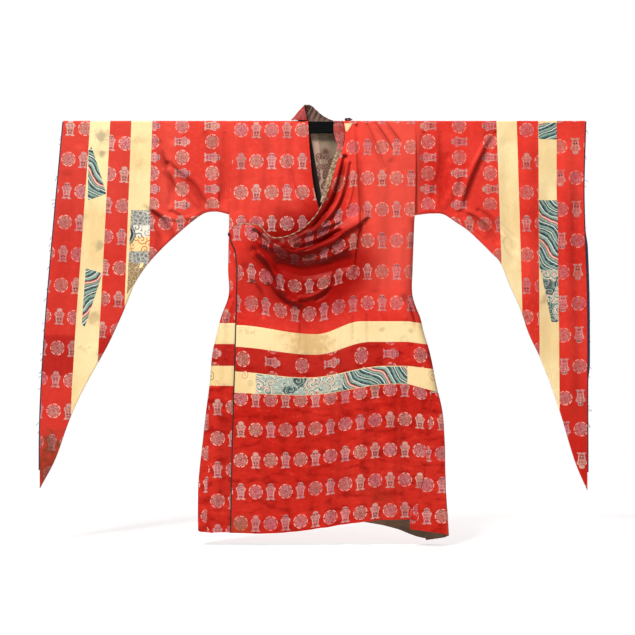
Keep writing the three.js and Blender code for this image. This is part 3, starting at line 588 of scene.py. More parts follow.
def outer_point(x, v, skirt=False):
    z = v - sag(x, v)
    depth = outer_depth(x, z) + seam_dip(v, OUTER_LINES[:4])
    if not skirt:
        depth = turned(depth, flow(OUTLINE, "z", z, "right") - x, z)
    return x, -depth, z


def inner_edge(z, skirt):
    return read(SKIRT_EDGES, "z", z, "inner") if skirt else flow(OUTLINE, "z", z, "left")


def inner_point(x, z, skirt=False):
    relief = inner_folds.at(x, z) + ripple(x, z, 0.6) * smoothstep((16 - z) / 60)
    depth = flow(DEPTHS, "z", z, "inner") + np.clip(relief, -2.5, 4) + seam_dip(z, INNER_LINES[:4])
    depth = np.maximum(depth, CREST["half"])
    if not skirt:
        depth = turned(depth, x - inner_edge(z, skirt), z)
    return x, -depth, z


def back_depth(x, z):
    relief = back_folds.at(x, z) + ripple(x + 400, z, 0.8)
    relief = relief * smoothstep((16 - z) / 80)
    return np.maximum(flow(DEPTHS, "z", z, "back") + np.clip(relief, -4, 6), CREST["half"])


def crest(steps=6):
    """Section of the cloth over the bar, from the front to the back, as Y and Z."""
    cy, cz = CREST["half"] - CREST["corner"], CREST["top"] - CREST["corner"]
    turn = np.radians(np.linspace(90, 0, steps))
    y, z = cy + CREST["corner"] * np.cos(turn), cz + CREST["corner"] * np.sin(turn)
    return np.concatenate([-y[::-1], y]), np.concatenate([z[::-1], z])


# ---------------------------------------------------------------- meshes


def grid_faces(rows, columns, closed=False):
    i = np.arange(rows - 1)[:, None]
    j = np.arange(columns if closed else columns - 1)[None, :]
    k = (j + 1) % columns
    a, b = i * columns + j, (i + 1) * columns + j
    c, d = (i + 1) * columns + k, i * columns + k
    return np.stack([a, b, c, d], -1).reshape(-1, 4)


def vertex_normals(points, faces):
    corners = points[faces]
    normal = np.cross(corners[:, 2] - corners[:, 0], corners[:, 3] - corners[:, 1])
    total = np.zeros_like(points)
    for k in range(4):
        np.add.at(total, faces[:, k], normal)
    length = np.linalg.norm(total, axis=1, keepdims=True)
    return total / np.maximum(length, 1e-9)


def rim_edges(faces):
    edges = np.concatenate([faces[:, [k, (k + 1) % 4]] for k in range(4)])
    size = faces.max() + 1
    forward = edges[:, 0] * size + edges[:, 1]
    backward = edges[:, 1] * size + edges[:, 0]
    return edges[~np.isin(forward, backward)]


def solid(name, points, faces, materials, slots, layers, sharp):
    """An object from points in mm, with a UV layer for each of the values given by point."""
    mesh = bpy.data.meshes.new(name)
    mesh.from_pydata((points * MM).tolist(), [], faces)
    for material in materials:
        mesh.materials.append(material)
    mesh.polygons.foreach_set("material_index", np.asarray(slots, np.int32))
    loops = np.zeros(len(mesh.loops), np.int32)
    mesh.loops.foreach_get("vertex_index", loops)
    for layer, values in layers.items():
        values = values[loops].astype(np.float32)
        mesh.uv_layers.new(name=layer).data.foreach_set("uv", values.ravel())
    mesh.update()
    mesh.validate()
    mesh.polygons.foreach_set("use_smooth", np.ones(len(mesh.polygons), bool))
    mesh.set_sharp_from_angle(angle=math.radians(sharp))
    piece = bpy.data.objects.new(name, mesh)
    bpy.context.collection.objects.link(piece)
    return piece


def shell(name, points, faces, cloth, outside, inside, thickness=CLOTH, crease=0.0):
    """A sheet of cloth with both its faces. cloth holds the place of each point on the flat cloth,
    and the last argument how much painted shade darkens it there."""
    count = len(points)
    inner = points - vertex_normals(points, faces) * thickness
    edges = rim_edges(faces)
    rims = np.column_stack([edges[:, 1], edges[:, 0], edges[:, 0] + count, edges[:, 1] + count])
    points = np.vstack([points, inner])
    slots = np.repeat([0, 1, 0], [len(faces), len(faces), len(rims)])
    faces = np.vstack([faces, faces[:, ::-1] + count, rims])
    dark = np.tile(np.broadcast_to(np.ravel(crease), (count,)), 2)
    layers = {
        "cloth": np.vstack([cloth, cloth]),
        "place": points[:, [0, 2]] * MM,
        "crease": np.column_stack([dark, dark]),
    }
    return solid(name, points, faces.tolist(), [outside, inside], slots, layers, sharp=55)


def grid_shell(name, rows, cloth, outside, inside, closed=False, **options):
    """A sheet from its X, Y and Z in rows and columns."""
    points = np.stack(rows, -1)
    faces = grid_faces(*points.shape[:2], closed)
    flat = np.stack(cloth, -1).reshape(-1, 2)
    return shell(name, points.reshape(-1, 3), faces, flat, outside, inside, **options)


def tube(name, path, radius, material, sides=8):
    """A round cord through a list of points."""
    path = np.asarray(path, float)
    along = np.gradient(path, axis=0)
    along /= np.linalg.norm(along, axis=1, keepdims=True)
    lead = np.cross(along, (0.0, 1.0, 0.0))
    lead /= np.maximum(np.linalg.norm(lead, axis=1, keepdims=True), 1e-9)
    lift = np.cross(lead, along)
    turn = 2 * np.pi * np.arange(sides) / sides
    round_it = lead[:, None] * np.cos(turn)[None, :, None] + lift[:, None] * np.sin(turn)[None, :, None]
    points = (path[:, None] + radius * round_it).reshape(-1, 3)
    last = (len(path) - 1) * sides
    faces = grid_faces(len(path), sides, closed=True).tolist()
    faces += [list(range(sides)), [last + k for k in range(sides)][::-1]]
    length = np.concatenate([[0], np.cumsum(np.linalg.norm(np.diff(path, axis=0), axis=1))])
    flat = np.stack([np.repeat(length, sides), np.tile(np.arange(sides) / sides, len(path))], -1)
    layers = {"cloth": flat, "place": points[:, [0, 2]] * MM}
    return solid(name, points, faces, [material], np.zeros(len(faces)), layers, sharp=60)


# ---------------------------------------------------------------- material graphs


def linear(red, green, blue):
    """A display colour, 0 to 255, as scene values."""

    def channel(c):
        c /= 255
        return c / 12.92 if c <= 0.04045 else ((c + 0.055) / 1.055) ** 2.4

    return (channel(red), channel(green), channel(blue), 1.0)


def operation(name):
    """A method of Term that adds one Math node."""
    return lambda term, *others: term.graph.math(name, term, *others)


class Term:
    """A value in a material's graph, which sums, products and these calls extend with Math nodes."""

    def __init__(self, graph, socket):
        self.graph = graph
        self.socket = socket

    def __rsub__(self, other):
        return self.graph.math("SUBTRACT", other, self)

    __add__ = __radd__ = operation("ADD")
    __mul__ = __rmul__ = operation("MULTIPLY")
    __sub__ = operation("SUBTRACT")
    __truediv__ = operation("DIVIDE")
    sin = operation("SINE")
    cos = operation("COSINE")
    floor = operation("FLOOR")
    fract = operation("FRACT")
    abs = operation("ABSOLUTE")
    sqrt = operation("SQRT")
    at_most = operation("MINIMUM")
    at_least = operation("MAXIMUM")


class Graph:
    """One material. Its nodes take terms, numbers and display colours of three values."""

    def __init__(self, name, roughness=0.5, sheen=0.0, specular=0.5, tint=(1, 1, 1, 1)):
        self.material = bpy.data.materials.new(name)
        self.material.use_nodes = True
        self.tree = self.material.node_tree
        self.tree.nodes.clear()
        output = self.tree.nodes.new("ShaderNodeOutputMaterial")
        self.shader = self.tree.nodes.new("ShaderNodeBsdfPrincipled")
        self.tree.links.new(self.shader.outputs[0], output.inputs[0])
        self.shader.inputs["Roughness"].default_value = roughness
        self.shader.inputs["Sheen Weight"].default_value = sheen
        self.shader.inputs["Sheen Roughness"].default_value = 0.4
        self.shader.inputs["Specular IOR Level"].default_value = specular
        self.shader.inputs["Specular Tint"].default_value = tint

    def put(self, socket, value):
        if isinstance(value, Term):
            self.tree.links.new(value.socket, socket)
        elif isinstance(value, tuple) and len(value) == 3:
            socket.default_value = linear(*value)
        else:
            socket.default_value = value

    def node(self, kind, inputs, output=0, **settings):
        """The output of a new node with the given settings and inputs."""
        made = self.tree.nodes.new("ShaderNode" + kind)
        for key, value in settings.items():
            setattr(made, key, value)
        for key, value in inputs.items():
            self.put(made.inputs[key], value)
        return Term(self, made.outputs[output])

    def math(self, name, *values):
        return self.node("Math", dict(enumerate(values)), operation=name)

    def split(self, vector):
        made = self.tree.nodes.new("ShaderNodeSeparateXYZ")
        self.put(made.inputs[0], vector)
        return [Term(self, socket) for socket in made.outputs]

    def uv(self, layer):
        return self.split(self.node("UVMap", {}, uv_map=layer))[:2]

    def join(self, x, y):
        return self.node("CombineXYZ", {0: x, 1: y})

    def step(self, value, low, high):
        """0 at low and 1 at high, smooth between them."""
        return self.node("MapRange", {0: value, 1: low, 2: high}, interpolation_type="SMOOTHSTEP")

    def mix(self, factor, a, b):
        return self.node("Mix", {0: factor, 6: a, 7: b}, output=2, data_type="RGBA")

    def coats(self, colour, *coats):
        """A colour under others, which come as pairs of how much of one shows and its colour."""
        for share, shade in coats:
            colour = self.mix(share, colour, shade)
        return colour

    def noise(self, vector, scale, detail=2.0, rough=0.5, dimensions="2D"):
        inputs = {"Vector": vector, "Scale": scale, "Detail": detail, "Roughness": rough}
        return self.node("TexNoise", inputs, noise_dimensions=dimensions)

    def cells(self, vector, scale, feature="F1", output="Distance"):
        inputs = {"Vector": vector, "Scale": scale}
        return self.node("TexVoronoi", inputs, output, voronoi_dimensions="2D", feature=feature)

    def random(self, vector):
        return self.node("TexWhiteNoise", {"Vector": vector}, "Value", noise_dimensions="2D")

    def ramp(self, value, stops, interpolation="LINEAR"):
        """A display colour for each stretch of a value, from pairs of place and colour."""
        made = self.tree.nodes.new("ShaderNodeValToRGB")
        self.put(made.inputs[0], value)
        made.color_ramp.interpolation = interpolation
        elements = made.color_ramp.elements
        while len(elements) < len(stops):
            elements.new(0.5)
        for element, (at, _) in zip(elements, stops):
            element.position = at
        for element, (_, shade) in zip(elements, stops):
            element.color = linear(*shade)
        return Term(self, made.outputs[0])

    def curve(self, value, points):
        """Straight lines through points from 0 to 1 in both directions."""
        made = self.tree.nodes.new("ShaderNodeFloatCurve")
        line = made.mapping.curves[0]
        line.points[0].location = points[0]
        line.points[1].location = points[-1]
        for at in points[1:-1]:
            line.points.new(*at)
        for point in line.points:
            point.handle_type = "VECTOR"
        made.mapping.update()
        self.put(made.inputs["Value"], value)
        return Term(self, made.outputs[0])

    def bump(self, height, strength=1.0):
        """Relief from a height in metres."""
        inputs = {"Height": height, "Distance": 1.0, "Strength": strength}
        self.put(self.shader.inputs["Normal"], self.node("Bump", inputs))

    def finish(self, colour, roughness=None):
        self.put(self.shader.inputs["Base Color"], colour)
        if roughness is not None:
            self.put(self.shader.inputs["Roughness"], roughness)
        return self.material

# ---------------------------------------------------------------- materials

PITCH = 49.5  # between motifs along a row of the damask
ROW = 101.5  # between the rows
FIGURE_HEIGHT = 54
FIGURE_HALF_WIDTH = 20

# The figure's half width up its height, as shares of the two sizes above.
FIGURE = [
    (0.0, 0.0), (0.02, 0.8), (0.08, 0.66), (0.14, 0.52), (0.24, 0.52), (0.36, 0.58), (0.5, 0.62),
    (0.62, 0.82), (0.7, 0.8), (0.76, 0.6), (0.79, 0.42), (0.83, 0.42), (0.9, 0.46), (0.95, 0.36),
    (0.985, 0.18), (1.0, 0.0),
]

RED = (231, 64, 52)
DEEP_RED = (204, 38, 30)
PALE = (246, 196, 182)
MAUVE = (176, 104, 124)
OLIVE = (160, 128, 108)
DARK = (96, 44, 56)


def figure(g, a, b, chance):
    """The upright motif's pale, coloured and dark threads. Its dots lie high or low by chance."""
    inset = g.curve(b / FIGURE_HEIGHT + 0.5, FIGURE) * FIGURE_HALF_WIDTH - a.abs()
    body = g.step(inset, -0.7, 0.7) * g.step(b.abs(), 27.4, 26.6)
    body = body * (1 - g.step(a.abs() * 1.3 + (b + 22) * 1.2, 1.0, -0.8))
    outline = g.step((inset - 1.9).abs(), 1.9, 1.0)
    ribs = g.step((a * 1.35).cos(), 0.0, 0.75) * g.step((b - 1).abs(), 17.0, 14.0)
    hems = g.step((b * 0.62 + 0.6).cos(), 0.55, 0.9)
    ends = g.step(b, 15.0, 16.5) + g.step(b, -20.0, -22.0)
    level = 19.5 - g.step(chance, 0.45, 0.5) * 29
    dot_a, dot_b = a.abs() - 4.4, (b - level) * 0.9
    dots = g.step((dot_a * dot_a + dot_b * dot_b).sqrt(), 3.1, 1.8)
    arc = g.step((b - level - 2.5 + a.abs() * 0.25).abs(), 1.3, 0.6) * g.step(a.abs(), 10.0, 8.0)
    pale = body * outline.at_least(ribs * 0.75).at_least(hems * 0.6).at_least(ends * 0.85)
    dark = body * ((1 - ribs) * 0.22).at_least(dots).at_least(arc * 0.8)
    return pale, body * 0.62, dark


def roundel(g, a, b, chance):
    """The round motif's pale, coloured and dark threads."""
    radius = (a * a + b * b).sqrt()
    angle = g.math("ARCTAN2", b, a)
    broken = g.step((angle * 7 + chance * 6).sin() + (angle * 17).sin() * 0.6, -0.9, 0.0)
    ring = g.step((radius - 21.9).abs(), 2.2, 1.1) * broken
    lines = g.step((b * 1.5 + (a * 0.32).cos() * 2.4 + (angle * 3).sin() * 0.8).sin(), 0.2, 0.8)
    petals = g.step((radius - 9.5 - (angle * 4 + chance * 3).cos() * 3.4).abs(), 1.8, 0.7)
    disc = g.step(radius, 19.4, 17.8)
    rim = g.step((radius - 17.0).abs(), 1.4, 0.6) * g.step((angle * 11).sin(), -0.5, 0.1)
    mesh = g.step(((a * 0.85).sin() * (b * 0.8).sin()).abs(), 0.12, 0.5)
    pale = ring.at_least(disc * (petals * 0.62).at_least(rim * 0.7).at_least(lines * 0.45))
    return pale, disc * (0.3 + mesh * 0.5), disc * (1 - mesh) * (0.2 + lines * 0.3)


def damask_motifs(g, u, v):
    """A number for each motif, the place in it in mm, and its pale, coloured and dark threads."""
    column, row = (u + 0.5).floor(), (v + 0.5).floor()
    ragged = g.noise(g.join(u * 7, v * 14), 3.0, 1.0) - 0.5
    a = (u - column) * PITCH + ragged * 2.6
    b = (v - row) * ROW - ragged * 2.2
    odd = g.math("MODULO", (column + row).abs(), 2.0)
    chance = g.random(g.join(column, row))
    pairs = zip(figure(g, a, b, chance), roundel(g, a, b, chance))
    return chance, a, b, [upright * (1 - odd) + rounded * odd for upright, rounded in pairs]


# Stains on the red cloth, and stains and a darker patch on the cream cloth: X, Z and reach in metres, and
# colour.
RED_STAINS = [
    (0.257, -0.556, 0.018, (96, 44, 38)),
    (-0.276, -1.295, 0.045, (150, 84, 48)),
    (-0.9, -1.1, 0.14, (128, 66, 44)),
    (-0.888, -1.03, 0.05, (92, 60, 34)),
    (-0.905, -1.13, 0.1, (104, 44, 28)),
    (0.18, -1.2, 0.05, (150, 40, 24)),
]
CREAM_MARKS = [
    # A darker patch in the middle of the upper cream band.
    (-0.05, -0.705, 0.1, (202, 154, 94)),
    (-0.728, -0.030, 0.032, (128, 118, 104)),
    (-0.725, -0.085, 0.018, (150, 140, 122)),
    (-0.737, -0.384, 0.026, (150, 132, 104)),
    (-0.75, -0.62, 0.034, (186, 150, 104)),
    (0.72, -0.56, 0.024, (188, 154, 108)),
    (0.185, -0.66, 0.011, (206, 166, 116)),
    (0.28, -0.665, 0.012, (206, 166, 116)),
    (-0.60, -0.12, 0.02, (206, 178, 132)),
]
# Worn bits of embroidery left on the cream cloth, in the same way.
CREAM_CURLS = [
    (-0.372, -0.812, 0.016, (60, 86, 62)),
    (-0.352, -0.836, 0.012, (196, 92, 76)),
    (-0.262, -0.806, 0.017, (206, 96, 82)),
    (-0.243, -0.835, 0.011, (120, 140, 116)),
    (0.350, -0.812, 0.018, (206, 88, 76)),
    (0.366, -0.845, 0.012, (200, 120, 96)),
]


def spot(g, x, z, cx, cz, radius):
    """A soft ragged patch round a point."""
    dx, dz = x - cx, z - cz
    ragged = (g.noise(g.join(x, z), 45.0, 3.0) - 0.5) * radius * 1.3
    return g.step((dx * dx + dz * dz).sqrt() + ragged, radius, radius * 0.2)


def patch_coats(g, x, z, rows, strength):
    return [(spot(g, x, z, *place) * strength, shade) for *place, shade in rows]


def weave(x, z, tight):
    return (x * tight).sin() * 0.5 + (z * tight).sin() * 0.5


def cowl_shade_mask(g, x, z, where):
    """Painted shade under the cowl: a soft blob placed by position on the front."""
    dx, dz = (x + 0.06) * 0.85, z + 0.445
    return g.step((dx * dx + dz * dz).sqrt() + g.noise(where, 8.0) * 0.08, 0.28, 0.15)


def red_ground(g, x, z, where, patchy, kept):
    """The red between the motifs: bleached at the shoulders, with painted shade low down, on the
    outer left sleeve, in the skirt's wrinkles and under the cowl, and painted wrinkle highlights.
    """
    faded = g.step(x, 0.05, 0.2) * g.step(x, 0.34, 0.28) * g.step(z, -0.6, -0.45)
    faded = faded.at_least(g.step(x, -0.4, -0.5) * g.step(z, -0.5, -0.2))
    faded = faded.at_least(g.step(x, -0.04, -0.1) * g.step(z, -0.36, -0.3) * 0.5)
    # Painted shade: on the outer left sleeve, and darker towards the bottom, less so on that sleeve.
    left_sleeve_shade = g.step(x, -0.5, -0.56)
    low = g.step(z, -0.62, -0.9) * (1 - left_sleeve_shade * 0.75)
    # Painted shade and highlights of small wrinkles across the skirt.
    wrinkle_light_and_shade = g.noise(g.join(x, z * 2.2), 20.0, 4.0, 0.6)
    skirt = g.step(z, -0.6, -0.75) * g.step(x.abs(), 0.5, 0.44)
    middle_band = g.step((z + 0.745).abs(), 0.075, 0.06) * g.step(x, 0.3, 0.1)
    return g.coats(
        RED,
        (g.step(g.noise(where, 3.1, 3.0), 0.3, 0.75), DEEP_RED),
        (g.step(patchy, 0.45, 0.8) * 0.25, (238, 84, 66)),
        (faded * 0.5, (230, 92, 76)),
        (low * 0.66, (180, 24, 12)),
        (left_sleeve_shade * 0.5, (192, 50, 42)),
        (g.step(wrinkle_light_and_shade, 0.48, 0.72) * skirt * 0.75, (146, 14, 8)),
        (g.step(wrinkle_light_and_shade, 0.42, 0.26) * skirt * 0.4, (236, 66, 44)),
        (middle_band * 0.5, (150, 14, 10)),
        # Painted shade under the cowl.
        (kept, (150, 10, 6)),
    )


def thread_wear(g, x, z, patchy, kept):
    """How well the motifs' threads still show, 0 to 1."""
    shoulder = g.step(x, 0.0, -0.09) * g.step(z, -0.38, -0.32)
    middle = g.step(x, 0.03, 0.07) * g.step(z, -0.7, -0.6)
    bright = shoulder * 0.3 + g.step(z, -0.75, -0.95) * 0.12 + g.step(x, -0.28, -0.31) * 0.1
    # Fainter where the painted shade under the cowl falls.
    return (0.5 + g.step(patchy, 0.3, 0.62) * 0.32 + bright - kept * 0.16 - middle * 0.12).at_most(1.0)


def red_silk(name, dense=False, cowl_shade_strength=0.95):
    """Red damask, or the denser brocade. Its last argument is how strongly the painted shade under the cowl
    shows.
    """
    g = Graph(name, specular=0.16, tint=(1.0, 0.42, 0.34, 1))
    u, v = g.uv("cloth")
    x, z = g.uv("place")
    crease, _ = g.uv("crease")
    where = g.join(x, z)
    chance, a, b, (pale, coloured, dark) = damask_motifs(g, u, v)
    patchy = g.noise(where, 60.0, 2.0)
    # Painted shade under the cowl, which also dims the motifs' threads there.
    kept = cowl_shade_mask(g, x, z, where)
    wear = thread_wear(g, x, z, patchy, kept)
    colour = g.coats(
        red_ground(g, x, z, where, patchy, kept * cowl_shade_strength),
        ((coloured * wear * 0.85).at_most(0.8), g.mix(g.step(chance, 0.2, 0.9), MAUVE, OLIVE)),
        ((pale * wear).at_most(0.8), g.mix(g.step(g.noise(where, 9.0), 0.35, 0.7), PALE, (224, 150, 150))),
        ((dark * 1.1).at_most(0.9), DARK),
    )
    if dense:
        scroll = g.step(g.cells(g.join(a, b), 0.115, "DISTANCE_TO_EDGE"), 0.18, 0.05)
        colour = g.coats(colour, (0.55, (146, 30, 26)), (scroll * 0.75, (196, 120, 124)))
    dirt = g.step(g.noise(where, 7.0, 4.0, 0.6), 0.64, 0.78)
    # Dirt, stains, and last painted shade in the folds and on their undersides.
    colour = g.coats(
        colour, (dirt * 0.22, (120, 60, 50)), *patch_coats(g, x, z, RED_STAINS, 0.5), (crease * 0.86, (104, 4, 2))
    )
    raised = pale + coloured
    threads = raised * (0.6 + g.noise(g.join(u * 50, v * 30), 0.9, 1.0) * 0.8)
    puckers = g.noise(g.join(x * 0.6, z), 30.0, 4.0) * 1.3
    g.bump(weave(u * PITCH, v * ROW, 2.6) * 0.00006 + puckers * 0.0022 + threads * 0.00035, 0.9)
    return g.finish(colour, 0.37 + raised.at_most(1.0) * 0.2 + patchy * 0.06)


def curl(g, x, z, where, cx, cz, radius):
    """The thread of one worn spiral."""
    dx, dz = x - cx, (z - cz) * 0.8
    reach = (dx * dx + dz * dz).sqrt() + g.noise(where, 60.0) * 0.003
    line = (reach / (radius * 0.5) - g.math("ARCTAN2", dz, dx) / (2 * math.pi)).fract()
    return g.step((line - 0.5).abs(), 0.16, 0.07) * g.step(reach, radius, radius * 0.9)


def cream_silk(name):
    g = Graph(name, sheen=0.1)
    x, z = g.uv("place")
    crease, _ = g.uv("crease")
    where = g.join(x, z)
    colour = g.coats(
        (250, 224, 168),
        (g.step(g.noise(where, 5.0, 3.0), 0.35, 0.7), (240, 208, 148)),
        (g.step(g.noise(g.join(x * 8, z), 40.0), 0.5, 0.8) * 0.35, (232, 198, 138)),
        (g.step(g.noise(where, 13.0, 4.0, 0.65), 0.6, 0.74) * 0.4, (190, 160, 118)),
        *patch_coats(g, x, z, CREAM_MARKS, 0.6),
        *((curl(g, x, z, where, *place) * 0.8, shade) for *place, shade in CREAM_CURLS),
        # Painted shade in the folds.
        (crease * 0.5, (176, 136, 86)),
    )
    puckers = g.noise(g.join(x, z * 0.5), 42.0, 3.0)
    g.bump(weave(x, z, 2900) * 0.00005 + puckers * 0.0022, 0.9)
    return g.finish(colour, 0.42 + g.noise(where, 50.0) * 0.12)


GREEN, NAVY, WHITE = (128, 166, 148), (16, 30, 56), (226, 228, 214)
TEAL, RUST, BLUSH = (24, 84, 92), (192, 62, 54), (240, 206, 184)
# One repeat of the waves' satin stripes: colours and their widths in stitches.
STRIPES = [
    (GREEN, 6), (NAVY, 4), (WHITE, 3), (NAVY, 3), (GREEN, 7), (NAVY, 4), (TEAL, 4), (WHITE, 3), (NAVY, 3),
    (GREEN, 6), (RUST, 3), (BLUSH, 4), (RUST, 3), (NAVY, 4), (GREEN, 7), (WHITE, 3), (NAVY, 4), (TEAL, 4),
]
WATER = [
    (0.0, (216, 218, 200)), (0.2, (28, 84, 90)), (0.32, (212, 218, 202)), (0.5, (20, 40, 60)),
    (0.6, (160, 188, 170)), (0.74, (224, 224, 208)), (0.86, (18, 36, 56)), (0.95, (196, 206, 188)),
]
CLOUD = [
    (0.0, (236, 226, 198)), (0.28, (190, 72, 60)), (0.36, (228, 222, 198)), (0.52, (176, 196, 178)),
    (0.58, (24, 52, 70)), (0.76, (120, 158, 146)), (0.84, (196, 206, 186)), (1.0, (236, 226, 198)),
]
ROCK = [
    (0.0, (26, 44, 62)), (0.25, (96, 128, 122)), (0.5, (60, 104, 78)),
    (0.65, (206, 210, 190)), (0.8, (22, 34, 54)), (1.0, (26, 44, 62)),
]
EYE = [
    (0.0, (210, 216, 190)), (0.45, (232, 226, 206)), (0.62, (44, 50, 50)),
    (0.8, (150, 158, 150)), (0.93, (40, 46, 48)),
]
FLORAL = [
    (0.0, (226, 206, 150)), (0.3, (120, 84, 56)), (0.55, (176, 140, 96)),
    (0.75, (96, 70, 60)), (1.0, (214, 190, 140)),
]


def embroidery(name, roughness=0.62):
    """A graph with the relief of rows of satin stitch, and the place on it."""
    g = Graph(name, roughness=roughness, sheen=0.1)
    x, z = g.uv("place")
    where = g.join(x, z)
    stitches = g.noise(g.join(x * 3, z), 420.0)
    g.bump(stitches * 0.0005 + g.noise(where, 46.0) * 0.0014)
    return g, x, z, where


def wave_embroidery(name, slant, bend, period):
    g, x, z, where = embroidery(name)
    turn = math.radians(slant)
    along = x * math.cos(turn) + z * math.sin(turn)
    across = z * math.cos(turn) - x * math.sin(turn)
    wobble = g.noise(where, 26.0) * 0.010
    line = (across + (along * (2 * math.pi / 0.115)).sin() * bend + wobble) / period
    ends = np.cumsum([0] + [width for _, width in STRIPES])
    stops = [(at / ends[-1], shade) for at, (shade, _) in zip(ends, STRIPES)]
    worn = g.step(g.noise(where, 90.0, 3.0), 0.46, 0.72)
    speck = g.step(g.noise(where, 320.0, 1.0), 0.6, 0.75)
    stripes = g.ramp(line.fract(), stops, "CONSTANT")
    colour = g.coats(stripes, (worn * 0.22, (206, 206, 186)), (speck * 0.35, (110, 120, 116)))
    return g.finish(colour, 0.55 + worn * 0.2)


def swirls(g, where, x, z, size, tight):
    """Curls round scattered centres: the place along each curl's line, and a number for each."""
    cx, cz, _ = g.split(g.cells(where, 1 / size, output="Position"))
    dx, dz = x - cx, z - cz
    reach = (dx * dx + dz * dz).sqrt() / size
    kind = g.random(g.join(cx, cz))
    return (reach * tight - g.math("ARCTAN2", dz, dx) / (2 * math.pi) + kind).fract(), kind


def scales(g, x, z, size):
    """Distance from the middle of each arc in rows of overlapping half circles, from 0 to 1."""
    px, pz = x / size, z / size
    near_x, near_z = px.fract() - 0.5, pz.fract()
    far_x, far_z = (px + 0.5).fract() - 0.5, (pz + 0.5).fract()
    near = (near_x * near_x + near_z * near_z).sqrt() * 2
    far = (far_x * far_x + far_z * far_z).sqrt() * 2
    inside = g.step(near, 1.02, 0.98)
    return near * inside + far * (1 - inside)


def cloud_embroidery(name, size, sea=0.5, rocks=0.84):
    """Rows of scalloped water, with curled clouds and rocks in the cells numbered above each share."""
    g, x, z, where = embroidery(name)
    wander = (g.noise(where, 30.0) - 0.5) * size * 0.9
    wx, wz = x + wander, z - wander
    along, kind = swirls(g, g.join(wx, wz), wx, wz, size * 1.3, 2.6)
    speck = g.step(g.noise(where, 300.0, 1.0), 0.6, 0.75)
    colour = g.coats(
        g.ramp(scales(g, wx, wz, size), WATER, "CONSTANT"),
        (g.step(kind, sea, sea + 0.03), g.ramp(along, CLOUD)),
        (g.step(kind, rocks, rocks + 0.03), g.ramp(along, ROCK)),
        (speck * 0.3, (104, 116, 112)),
    )
    return g.finish(colour)


def left_brocade(name):
    """Grey metal brocade, a strip of curled embroidery and a dense floral end."""
    g, x, z, where = embroidery(name, roughness=0.6)
    scroll = g.cells(where, 90.0, "DISTANCE_TO_EDGE")
    grey = g.mix(g.step(scroll, 0.1, 0.3), (186, 184, 174), (124, 122, 112))
    grey = g.mix(g.step(g.noise(where, 120.0), 0.5, 0.7) * 0.6, grey, (84, 88, 84))
    dx, dz = x + 0.652, z + 0.349
    reach = (dx * dx + dz * dz * 0.8).sqrt() + (g.noise(where, 40.0) - 0.5) * 0.008
    along, kind = swirls(g, where, x, z, 0.024, 2.2)
    line = g.step((along - 0.5).abs(), 0.2, 0.1) * g.step(kind, 0.2, 0.3)
    strip = g.coats(
        g.mix(g.step(z, -0.35, -0.362), (238, 232, 216), (240, 216, 150)),
        (line * 0.9, g.mix(g.step(z, -0.352, -0.366), (28, 44, 74), (208, 78, 52))),
        (g.step(reach, 0.0345, 0.0335), g.ramp(reach / 0.034, EYE, "CONSTANT")),
    )
    colour = g.coats(
        grey,
        (g.step(z, -0.316, -0.322), strip),
        (g.step(z, -0.402, -0.406), grey),
        (g.step(z + x * 0.2, -0.562, -0.57), g.ramp((g.cells(where, 60.0) * 2.4).fract(), FLORAL)),
    )
    return g.finish(colour)


def tan_lining(name, base, flowers=False):
    """Worn tan cotton. The flowered one is seen inside the neck."""
    g = Graph(name, roughness=0.8)
    x, z = g.uv("place")
    crease, _ = g.uv("crease")
    where = g.join(x, z)
    colour = g.mix(g.step(g.noise(where, 20.0, 3.0), 0.35, 0.7), base, tuple(c * 0.8 for c in base))
    if flowers:
        colour = g.coats(colour, *neck_flowers(g, x, z, where))
    # Painted shade in the folds.
    colour = g.mix(crease * 0.9, colour, (66, 34, 28))
    g.bump(weave(x, z, 3300) * 0.00008 + g.noise(where, 60.0) * 0.0012, 0.8)
    return g.finish(colour)


def neck_flowers(g, x, z, where):
    """A pale stripe, brown flowers below it and the painted shadow of the inner front's edge on the lining.
    """
    bend = g.noise(where, 16.0, 1.0) * 0.03
    petals = g.cells(g.join(x + bend, z + bend), 50.0)
    leaf = g.step((petals - 0.42).abs(), 0.16, 0.07).at_least(g.step(petals, 0.26, 0.14))
    low = g.step(z + x * 0.2, -0.07, -0.1) * g.step(g.noise(where, 22.0), 0.3, 0.42)
    leaf = (leaf * low).at_least(spot(g, x, z, 0.0, -0.077, 0.016))
    edge = x + 0.0555 + (z - 0.016) * 0.1 + z * 0.078 - 0.003
    return [
        (g.step(g.noise(where, 60.0), 0.4, 0.6) * 0.5, (132, 122, 96)),
        (g.step(x + z * 0.12, -0.022, -0.030), (180, 148, 128)),
        (leaf * 0.88, (98, 40, 32)),
        # Painted shadow cast by the inner front's edge.
        (g.step(edge, 0.002, -0.002) * g.step(z, 0.02, -0.04), (22, 4, 2)),
    ]


